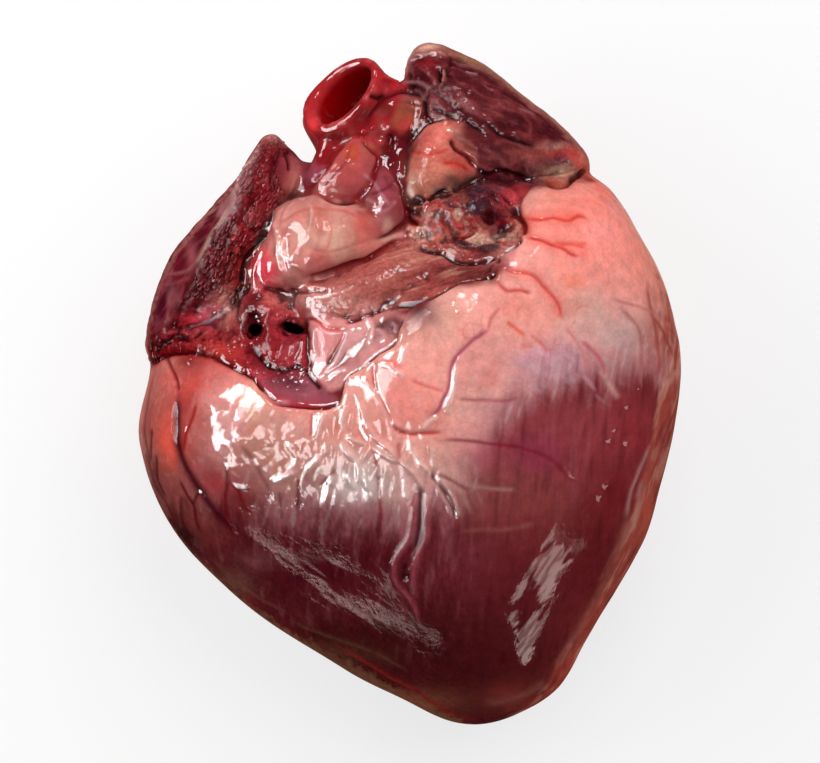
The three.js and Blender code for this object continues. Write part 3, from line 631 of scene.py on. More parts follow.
# %% Finer spots, over the whole front
DETAIL_SPOTS = [
    # centre, reach, colour, strength
    # beige patch and its dark foot
    ((5, 41), (4, 2.5), "#d0806c", 0.7), ((9.5, 42.2), (3, 0.8), "#c8402f", 0.6),
    ((8, 39.6), (1.3, 1), "#44362c", 0.85), ((9.2, 38), (0.9, 1.2), "#3a2a26", 0.85),
    ((5.5, 37), (2.2, 1), "#8a7668", 0.7), ((2.5, 38), (1.6, 1.5), "#cc7a62", 0.7),
    # torn tissue: the clots, then the pale shreds round them
    ((9.5, 36), (1.5, 1.1), "#6e4038", 0.8), ((13, 37), (2.6, 2.2), "#301c26", 0.95),
    ((13, 34.3), (2.4, 2.2), "#341e28", 0.95), ((15.8, 32), (2.4, 2.2), "#280609", 0.95),
    ((16, 37), (2, 1.4), "#46262e", 0.85), ((18.2, 35.3), (1.6, 2), "#8c2430", 0.7),
    ((17.8, 30.8), (1.6, 1.6), "#74101a", 0.8), ((20.5, 36.3), (1.8, 1.2), "#c24048", 0.7),
    ((9.3, 33), (1.1, 2.2), "#b08c78", 0.7), ((18.5, 28.2), (3, 1.3), "#b98a76", 0.7),
    ((21, 31.5), (0.9, 2.4), "#c08a7a", 0.7), ((12, 28), (2.4, 0.9), "#c49a84", 0.75),
    ((8, 25.5), (1, 1), "#c8a898", 0.7), ((15, 25.8), (2.2, 0.8), "#2c141c", 0.85),
    ((10.5, 29.8), (2.6, 0.5), "#6e0c10", 0.8), ((3, 32.7), (2.4, 1.4), "#b07a70", 0.7),
    ((6, 31.5), (2, 0.8), "#7c1418", 0.7), ((0.8, 31), (1, 0.8), "#a80c14", 0.85),
    ((2, 29), (2, 1.4), "#c08a78", 0.7), ((5.5, 28.3), (2.2, 1.2), "#b8604e", 0.6),
    ((4, 26.6), (2.2, 0.6), "#8a1814", 0.7),
    # foot of the aorta and its neighbours
    ((-9.5, 52.5), (2.2, 2), "#5c080d", 0.8), ((-15, 47), (2.5, 1.5), "#6c0b12", 0.8),
    ((-5, 53.5), (2, 1.5), "#601a18", 0.8), ((-1, 50), (1.8, 1.4), "#d84a42", 0.85),
    ((-19.4, 50), (1.5, 2.2), "#ee4046", 0.85), ((-3, 56), (2, 1), "#8a2a34", 0.7),
    # left auricle
    ((12, 48.5), (2.5, 2), "#5c2024", 0.8), ((10, 60), (5, 3), "#45131a", 0.6),
    ((24, 44), (3, 1.5), "#a8544e", 0.7), ((20, 50), (5, 3), "#421216", 0.7),
    ((3, 63), (2, 1.2), "#8a1c26", 0.7), ((3, 67), (3, 1), "#e2a894", 0.8),
    # smooth patch at the trunk's end, and the shadow at its left end
    ((-4.5, 38), (2, 2.5), "#84303a", 0.6), ((-30.2, 23.8), (1, 3), "#9b0b13", 0.9),
    # right auricle: its wet foot and its cut face
    ((-42.5, 12), (2.6, 1.4), "#e0384a", 0.9), ((-46, 9.5), (2.5, 2), "#96121c", 0.85),
    ((-33.4, 20.6), (1.6, 3.2), "#8a181a", 0.9), ((-34, 32), (1.2, 4), "#4c060a", 0.7),
    ((-30.4, 38), (1, 4), "#520a10", 0.7), ((-36, 14.8), (2.2, 2.6), "#d8847a", 0.9),
    ((-39.6, 12.9), (2, 1.8), "#dc6478", 0.9), ((-38, 9), (3, 1.2), "#9c2430", 0.7),
    # between the cut face and the trunk, and a pit below them, painted dark as painted shade
    ((-32.3, 27.5), (1.5, 4), "#861a20", 0.8), ((-28.6, 38), (1.5, 5), "#80141c", 0.7),
    ((-22.8, 38.4), (1.2, 2.8), "#cc7c70", 0.8), ((-20.8, 38.6), (0.9, 2.4), "#6c1c22", 0.7),
    ((-29.8, 16.3), (1.6, 1.2), "#4a0810", 0.85),
    # right auricle: folds of its skin
    ((-35, 37.7), (1.4, 3), "#bc8e8c", 0.85), ((-27.8, 48.8), (1.4, 1.2), "#c08078", 0.85),
    ((-37, 33.5), (1.2, 2), "#ac7478", 0.8), ((-40.5, 30), (1.4, 3), "#5c1422", 0.7),
    ((-43, 25), (1, 3), "#9c5058", 0.7), ((-45.5, 22), (1, 3), "#6c1826", 0.7),
    ((-47, 17), (1, 2.4), "#a05a64", 0.7), ((-49.5, 14), (1.4, 3), "#4e1026", 0.7),
    # left side of the ventricles
    ((-47, -12), (3, 5), "#f8604e", 0.9), ((-38, -20), (4, 3), "#bb464a", 0.85),
    ((-33, -23), (4, 3), "#7e2228", 0.85), ((-46, -22), (3, 4), "#8e3c3a", 0.8),
    ((-42, -27), (3, 3), "#8f3d38", 0.8), ((-51, -20), (2.5, 5), "#561a1a", 0.8),
    ((-38, -30), (4, 3), "#7e3030", 0.7),
    # trunk and torn tissue once more: the brightest and the darkest places
    ((-28, 22), (2, 3.2), "#ff4e60", 0.92), ((-27, 30), (1.5, 2.4), "#d4585c", 0.8),
    ((-8, 26), (3, 1.4), "#f08e86", 0.85), ((5, 30), (1.6, 1), "#a8403c", 0.8),
    ((10, 28), (1.8, 1), "#dc4038", 0.85), ((9, 35), (1.4, 1.4), "#7c2a2a", 0.85),
    # round the vein holes
    ((-31, 6), (1.6, 1.6), "#560a10", 0.9), ((-30.8, 10), (1.3, 2.2), "#5a0e14", 0.7),
    ((-23.4, 10.9), (2.4, 1.1), "#641018", 0.7), ((-22.6, 8.4), (2.2, 1), "#7c1a24", 0.9),
    ((-24.5, 12.4), (2, 1), "#b44850", 0.7), ((-30, 1), (2, 1.2), "#c85464", 0.8),
    # ventricles: the left edge, near black low down as painted shade, then the fat of the front
    ((-52.5, -8), (2, 6), "#a03c38", 0.7), ((-45, -32), (2.5, 4), "#2a0c0b", 0.8),
    ((-10, -20), (5, 3), "#dccac6", 0.7), ((0, -20), (3, 3), "#eeb2ae", 0.75),
    ((44, -10), (4, 6), "#8e2c31", 0.6), ((30, 34), (5, 4), "#d87466", 0.5),
    ((36, 29.5), (4, 3), "#f59a96", 0.5), ((27, 25), (4, 3), "#ee8c82", 0.5),
    ((45, 28), (4, 6), "#ec8678", 0.5), ((8, -18), (3, 3), "#dfa69c", 0.75),
    ((14, -14), (4, 3), "#a84c5c", 0.5), ((10, -10), (4, 3), "#e29894", 0.6),
    # foot of the band, and single places on the base
    ((2, 14), (2.4, 2), "#5e2428", 0.9), ((-3, 11), (2, 2), "#641e26", 0.9),
    ((-8, 14), (3, 1.6), "#ea9c96", 0.85), ((20, 24), (3, 2), "#eca09a", 0.7),
    ((-18, 32), (3, 3), "#b4524a", 0.75), ((-10, 29), (3, 2), "#b04840", 0.6),
    # brown and brick-red rim of the ventricles
    ((-36, -40), (5, 3), "#70463a", 0.8), ((-16, -54), (10, 2.5), "#6a3c2e", 0.6),
    ((0, -63), (10, 2.5), "#94543f", 0.8), ((20, -62), (5, 3), "#943c32", 0.75),
    ((47, -28), (2.5, 6), "#be5646", 0.75), ((36, -50), (3, 5), "#923e34", 0.7),
    ((31, -58), (3, 3), "#aa4436", 0.75), ((-30, -35), (4, 2), "#86484a", 0.7),
    ((36, 10), (4, 3), "#d2a09a", 0.6),
]  # fmt: skip

# mottling of the beige patch and the trunk
mottled = noise(stretched(place, -14, 1.8), 2.6, 75, 3)
beige_patch = zone([(0.5, 39), (0.5, 45), (3.5, 50.5), (8, 51), (11, 47), (12, 43), (8.5, 38), (5, 36)], 1)
stain("#dca593", 0.5 * beige_patch * rise(mottled, 0.0, 0.6))
stain("#a8403a", 0.45 * beige_patch * rise(-mottled, 0.1, 0.6))
trunk = zone([(-28, 31), (-18, 36), (-7, 34), (-2, 29), (-8, 24.5), (-20, 19.5), (-30, 20)], 1.5)
stain("#d8a894", 0.4 * trunk * rise(noise(place, 5, 78, 3), 0.1, 0.7))
stain("#b8545a", 0.45 * trunk * rise(-noise(stretched(place, 75, 2), 4, 79, 3), 0.1, 0.7))

# wrinkles and fine streaks on the left auricle
on_auricle = zone([(-2, 58), (-1, 67), (3, 69.5), (11, 67), (20, 61), (38, 46), (34, 40), (22, 39),
                   (12, 42), (8, 51), (0, 53)], 2)  # fmt: skip
wrinkles = ridges(stretched(warped(1.5, 5, 65), -22, 3), 2.4, 67, 3)
# the wrinkles are painted paler on their ridges and darker in their valleys: painted light and painted shade
stain("#8c4648", 0.35 * on_auricle * rise(wrinkles, 0.5, 0.95))
stain("#320a0f", 0.6 * on_auricle * rise(-wrinkles, -0.1, 0.6))
brushed = noise(stretched(warped(1, 4, 64), -24, 5), 0.9, 60, 3)
stain("#a4686c", 0.38 * on_auricle * rise(brushed, 0.25, 0.9))
stain("#33101a", 0.45 * on_auricle * rise(-brushed, 0.2, 0.8))

# the aorta: a paler red wall, and deep red inside
rim_red = on_aorta * rise(along, -14, -7)
stain("#a3252a", rim_red)
stain("#c25c5e", 0.5 * rim_red * rise(noise(place, 3, 91, 2), 0.1, 0.7))
stain("#8a0206", rise(along, -17, -15) * (1 - rise(bore, 7.3, 8.0)) * (1 - rise(along, -2.6, -0.4)))

# in the torn tissue the spots get frayed edges, elsewhere they stay soft
for centre, reach, colour, strength in DETAIL_SPOTS:
    soft = spot(centre, reach, 0.4)
    frayed = rise(soft + 0.45 * torn_folds, 0.35, 0.6) * rise(soft, 0.04, 0.3)
    stain(colour, strength * (soft + tissue * (frayed - soft)) * top)
print(len(DETAIL_SPOTS), "finer spots")

# %% [markdown]
# The sides
#
# Seen from above, the sides below the base are hidden. They get what a heart has there: pale fat with
# blotches of muscle in it, and dark muscle where an auricle hangs down. The noise that parts them is pushed
# about by a second noise, so that the blotches get ragged shores.

# %% Stain the walls that face sideways, below the base
inner = zone([(-36, 4), (-36, 20), (-33, 30), (-27, 40), (-24, 47), (-18, 44), (-8, 46), (-4, 54),
              (10, 52), (24, 40), (24, 26), (16, 16), (0, 8), (-14, -8), (-28, -4)], 1.5)  # fmt: skip
drift = 4 * np.stack([noise(place, 7, seed) for seed in (113, 117, 119)], axis=1)
blotches = noise(place + drift, 14, 103, 3)
right_auricle_wall = rise(-place[:, 0], 24, 30) * rise(place[:, 1], 4, 10)
left_auricle_wall = rise(place[:, 0], -2, 4) * rise(place[:, 1], 38, 46)
auricle_wall = np.maximum(right_auricle_wall, left_auricle_wall)
turned_away = 1 - rise(normal[:, 2] + 0.12 * brushed - 0.1 * auricle_wall, -0.05, 0.3)
wall = turned_away * rise(place[:, 1], -2, 8) * (1 - on_aorta) * (1 - inner * rise(place[:, 2], 30, 36))
flesh = np.maximum(auricle_wall, rise(blotches, -0.1, 0.5)) * rise(place[:, 2] + 9 * blotches, 11, 17)
stain("#dd988b", wall)
stain("#ebb6a8", 0.4 * wall * rise(noise(place + drift, 3, 107, 3), 0, 0.9))
stain("#7c2631", wall * flesh)
stain("#4e121c", 0.5 * wall * flesh * rise(noise(place + drift, 4, 105, 3), -0.4, 0.9))
stain("#9c4a50", 0.35 * wall * flesh * rise(brushed, 0.1, 0.8))
stain("#3c0c14", 0.4 * wall * flesh * rise(-brushed, 0.1, 0.8))
print("walls below the base:", round(100 * wall.mean()), "% of the skin")

# %% [markdown]
# Creases, folds and vessels
#
# The groove between the atria and the ventricles is the deepest crease. Smaller ones divide the scraps and
# the fat. Vessels run down the front. Those in the fat look like thin dark lines, and those on the muscle
# stand out.

# %% Press the creases in
FAT_LIP = [(-53, 3), (-50, 4.6), (-46, 5.6), (-40, 5), (-34, 2.5), (-29.3, -0.8), (-25, -4.5), (-20, -5),
           (-14, -4.6), (-11.5, 1), (-7, 4.3), (-3, 6.8), (0.5, 13), (5, 16.2), (10.5, 19.2), (15, 19.6),
           (17.3, 23.5), (20.5, 26), (22.6, 29.5), (21.7, 34), (24, 38)]  # fmt: skip
lip(FAT_LIP, 2.6, 1.1)  # the fat ends at the groove in a rounded edge

CREASES = [
    # route, half width, height, colour
    # the coronary groove, from left to right
    ([(-55, 2.5), (-50, 4.6), (-46, 5.6), (-40, 5), (-34, 2.5), (-29.5, -0.5)], 0.8, -1.4, "#7a0f14"),
    ([(-30.5, 1.5), (-29.3, -0.8), (-27, -3.2), (-25, -4.5), (-20, -5), (-16, -5.2), (-13.5, -4)],
      0.5, -1.6, "#b00f10"),
    ([(-13.5, -1.2), (-11.5, 1.3), (-9.5, 2.5), (-7, 4.3), (-5, 5.8), (-3, 6.8), (-1.7, 8.7)],
      0.45, -1.1, "#200608"),
    ([(-3, 14.5), (0, 14.8), (3, 15.3), (5, 16.2), (8, 18), (10.5, 19.2), (14, 19.5), (16, 20),
      (17.5, 22)], 0.5, -1.2, "#2c0c0e"),
    ([(17.3, 22), (17.3, 23.5), (18.5, 25), (20.5, 26), (22, 27.2)], 0.45, -1.1, "#4c0606"),
    ([(20.3, 33.3), (21.7, 31.3), (22.6, 29.5), (22.3, 27.3)], 0.45, -0.8, "#8a0a08"),
    # small folds that run from it into the fat
    ([(22.5, 31), (25, 31.1), (27.5, 31.8), (30.5, 31.2), (33, 32.2), (35, 31.6)], 0.38, -0.25, "#c83a30"),
    ([(22.3, 27.3), (25, 27.2), (27.7, 26.3), (29.3, 25.8), (31, 24.6), (33, 24.2)], 0.38, -0.3, "#bc2c24"),
    ([(28, 26.2), (31, 26.6), (34, 25.8)], 0.38, -0.15, "#d0504a"),
    ([(27.5, 26.8), (31, 26.7), (34.5, 26.6)], 0.35, -0.25, "#dd5a4c"),
    ([(26, 39), (28.5, 38.2), (30.5, 38.6), (31.7, 39.8), (33.2, 40.7), (34.8, 42.3)],
      0.45, -1.3, "#5c120c"),
    ([(17.5, 21.3), (20, 21.3), (22.5, 21), (24.3, 20), (25.5, 18.5), (28.5, 15), (29.5, 11.5)],
      0.3, -0.35, "#c8403a"),
    ([(16.3, 19.3), (18.5, 17.6), (21, 17.7), (23.5, 17)], 0.3, -0.35, "#c03a34"),
    # round the trunk, the band and the torn tissue
    ([(-20.5, 20.3), (-17, 20.8), (-14, 21.8), (-11, 23), (-8, 24), (-5, 25.8), (-2.5, 27.5),
      (-0.5, 27.9)], 0.4, -1.1, "#8e1214"),
    ([(-24, 18), (-21.5, 17.4), (-18.5, 17.6), (-16, 17.4)], 0.35, -0.8, "#7a0e12"),
    ([(-7, 27.3), (-4.5, 28.3), (-2.5, 29.7), (-1, 31), (-0.3, 33), (-0.8, 35), (-1.3, 37.5), (-2.5, 40),
      (-4.3, 41.6)], 0.4, -1.1, "#240508"),
    ([(1, 26.5), (3, 25.5), (6, 25), (7.5, 24), (10, 23.3), (14, 23.5), (17, 24)], 0.4, -0.8, "#3a0e10"),
    ([(-0.3, 34.8), (2.5, 35.2), (5, 36.4), (7.5, 37.6)], 0.35, -0.6, "#3a1412"),
    # on the thin wet sheet
    ([(-13, 11.3), (-10, 12), (-7, 13.3), (-4.5, 13.7)], 0.25, -0.3, "#a01c18"),
    ([(-20.5, 12.3), (-18, 11.8), (-16, 10.5), (-12.5, 10)], 0.3, -0.4, "#c03a38"),
    ([(-12.3, 9.7), (-13.8, 7.2), (-15, 5.3), (-16.2, 3)], 0.3, -0.4, "#c01c1c"),
    # crevice between the trunk and the right auricle, near black as painted shadow; then round the vein
    # holes
    ([(-26.6, 33.6), (-27.4, 31.3), (-28.5, 28.7), (-30, 26.4), (-31.8, 24.2), (-32.5, 21.5), (-32.8, 18)],
      0.45, -1.2, "#0a0203"),
    ([(-33.5, 16.5), (-34, 13), (-33, 10.5), (-31.5, 9)], 0.4, -0.8, "#2c0608"),
    ([(-30, 7.5), (-29.8, 5.5), (-28, 3.5), (-26, 2.6), (-24, 2.2), (-22, 3), (-20.5, 2)],
      0.4, -0.7, "#240508"),
    ([(-20.7, 11), (-20.2, 8.5), (-20.2, 5), (-19.5, 2)], 0.3, -0.5, "#5c0c14"),
    ([(-17.3, -1.5), (-19, 0.5), (-20.5, 2.5)], 0.3, -0.5, "#3c0a10"),
    # left auricle
    ([(3.4, 53.5), (6, 52.8), (8.5, 51.8), (11, 50.8), (13, 49.5), (15.5, 48)], 0.4, -0.8, "#200608"),
    ([(15, 51.3), (16.5, 49), (18.5, 47.8), (22, 46.8), (25, 46)], 0.4, -0.8, "#240808"),
    ([(12.5, 41.8), (15, 40.7), (17.5, 41.3), (20, 40.7), (23, 39.6), (24.5, 39)], 0.4, -0.8, "#2c0b0d"),
    # round the patches on the neck
    ([(-15.2, 43.5), (-17, 41), (-18.8, 39), (-20.3, 37.5)], 0.3, -0.6, "#9c1820"),
    ([(-10.7, 48.7), (-7.3, 45.3), (-6.3, 43), (-8, 38.7), (-11, 35.4), (-14.5, 35.1), (-18.7, 37.2)],
      0.3, -0.7, "#7c1016"),
    ([(-8.6, 49.6), (-7.5, 52), (-4.5, 55.4), (-1.5, 57.4), (1.5, 56.3), (2.8, 53.5), (1.6, 50.5)],
      0.35, -0.8, "#58090f"),
    # on and round the beige patch
    ([(7.5, 47.5), (9, 45.5), (11, 43.8), (12.7, 41.5)], 0.4, -0.8, "#a81e1c"),
    ([(-0.3, 45.2), (3, 44.6), (5.5, 44.8), (8, 45.5)], 0.3, -0.4, "#c44038"),
    ([(6, 42.6), (9, 42.5), (11.5, 41.5)], 0.25, -0.3, "#b83228"),
    ([(-0.7, 46.5), (0.8, 48.5), (3, 50.7), (7, 51.6)], 0.35, -0.7, "#6a1014"),
    # in the fat, below the groove
    ([(-6, 4), (-7, 2), (-7.2, 0), (-6.5, -2), (-5, -5), (-3.5, -8), (-2, -9.7), (0, -10.2), (3, -10),
      (7, -9.8)], 0.3, -0.6, "#b02824"),
    # short cuts: on the left auricle, beside the aorta, then on the rest
    ([(5.3, 62), (5.4, 60), (5.2, 58.6)], 0.5, -1.2, "#1c0406"),
    ([(7.3, 62), (7.4, 60)], 0.4, -0.8, "#3a1014"),
    ([(8.4, 65), (8, 63), (7.4, 61.5)], 0.3, -0.5, "#4c1014"),
    ([(-8, 56), (-6, 55.2), (-4.5, 56.2)], 0.5, -1.0, "#1c0305"),
    ([(-3.7, 48.3), (-4.3, 47), (-4.2, 45)], 0.6, -1.2, "#240406"),
    ([(0, 35), (-0.6, 32.5), (0.5, 31), (2, 30.4)], 0.3, -0.6, "#6a0c10"),
    ([(8, 27.2), (11, 28), (13, 29.3)], 0.3, -0.5, "#9a1c18"),
    ([(-37, 20), (-35.5, 24), (-34, 28)], 0.4, -0.5, "#3c080c"),
    ([(-25.2, 45.5), (-24, 43.5), (-23.8, 41)], 0.4, -0.7, "#5c0c12"),
    ([(-48, 5), (-47, 2.5), (-46, 0.5), (-45.6, -2)], 0.4, -0.7, "#7c1414"),
    ([(4, 50.5), (2.8, 52), (2.6, 54.5), (3.5, 57)], 0.4, -0.6, "#30070b"),
    ([(20, 34.3), (18, 36), (15.5, 37)], 0.35, -0.6, "#5c0c12"),
]  # fmt: skip
GLOWS = [
    # route, colour, strength: broad red stains that lie round a crease
    ([(20.6, 33), (22.8, 30), (22.5, 27.6)], "#b81a14", 0.7),
    ([(22.5, 31), (27.5, 31.6), (34, 31.5)], "#e2493c", 0.4),
    ([(22.3, 27.3), (27.7, 26.5), (35, 24.4)], "#e2493c", 0.4),
    ([(26, 39), (30.5, 38.6), (33.2, 40.7)], "#b8402c", 0.5),
    ([(30, 46), (37, 40), (42, 36)], "#e85a4a", 0.45),
    ([(17.5, 21.3), (24.3, 20), (29.5, 11.5)], "#e0605a", 0.4),
    ([(-55, 2.5), (-46, 5.6), (-34, 2.5), (-29, -0.8)], "#a81418", 0.6),
    ([(-29.3, -0.8), (-25, -4.5), (-15, -5.2)], "#c02420", 0.5),
    ([(-43, -2), (-44, -8), (-44.5, -14)], "#b02024", 0.5),
]  # fmt: skip
for points, colour, strength in GLOWS:
    line(points, 0.5, 0, colour, strength, halo=4.5)
# where a crease's colour is near black, it is painted shade in its depth
for points, width, height, colour in CREASES:
    line(points, width, height, colour, strength=0.92)
print(len(CREASES), "creases, and", len(GLOWS), "red stains round them")

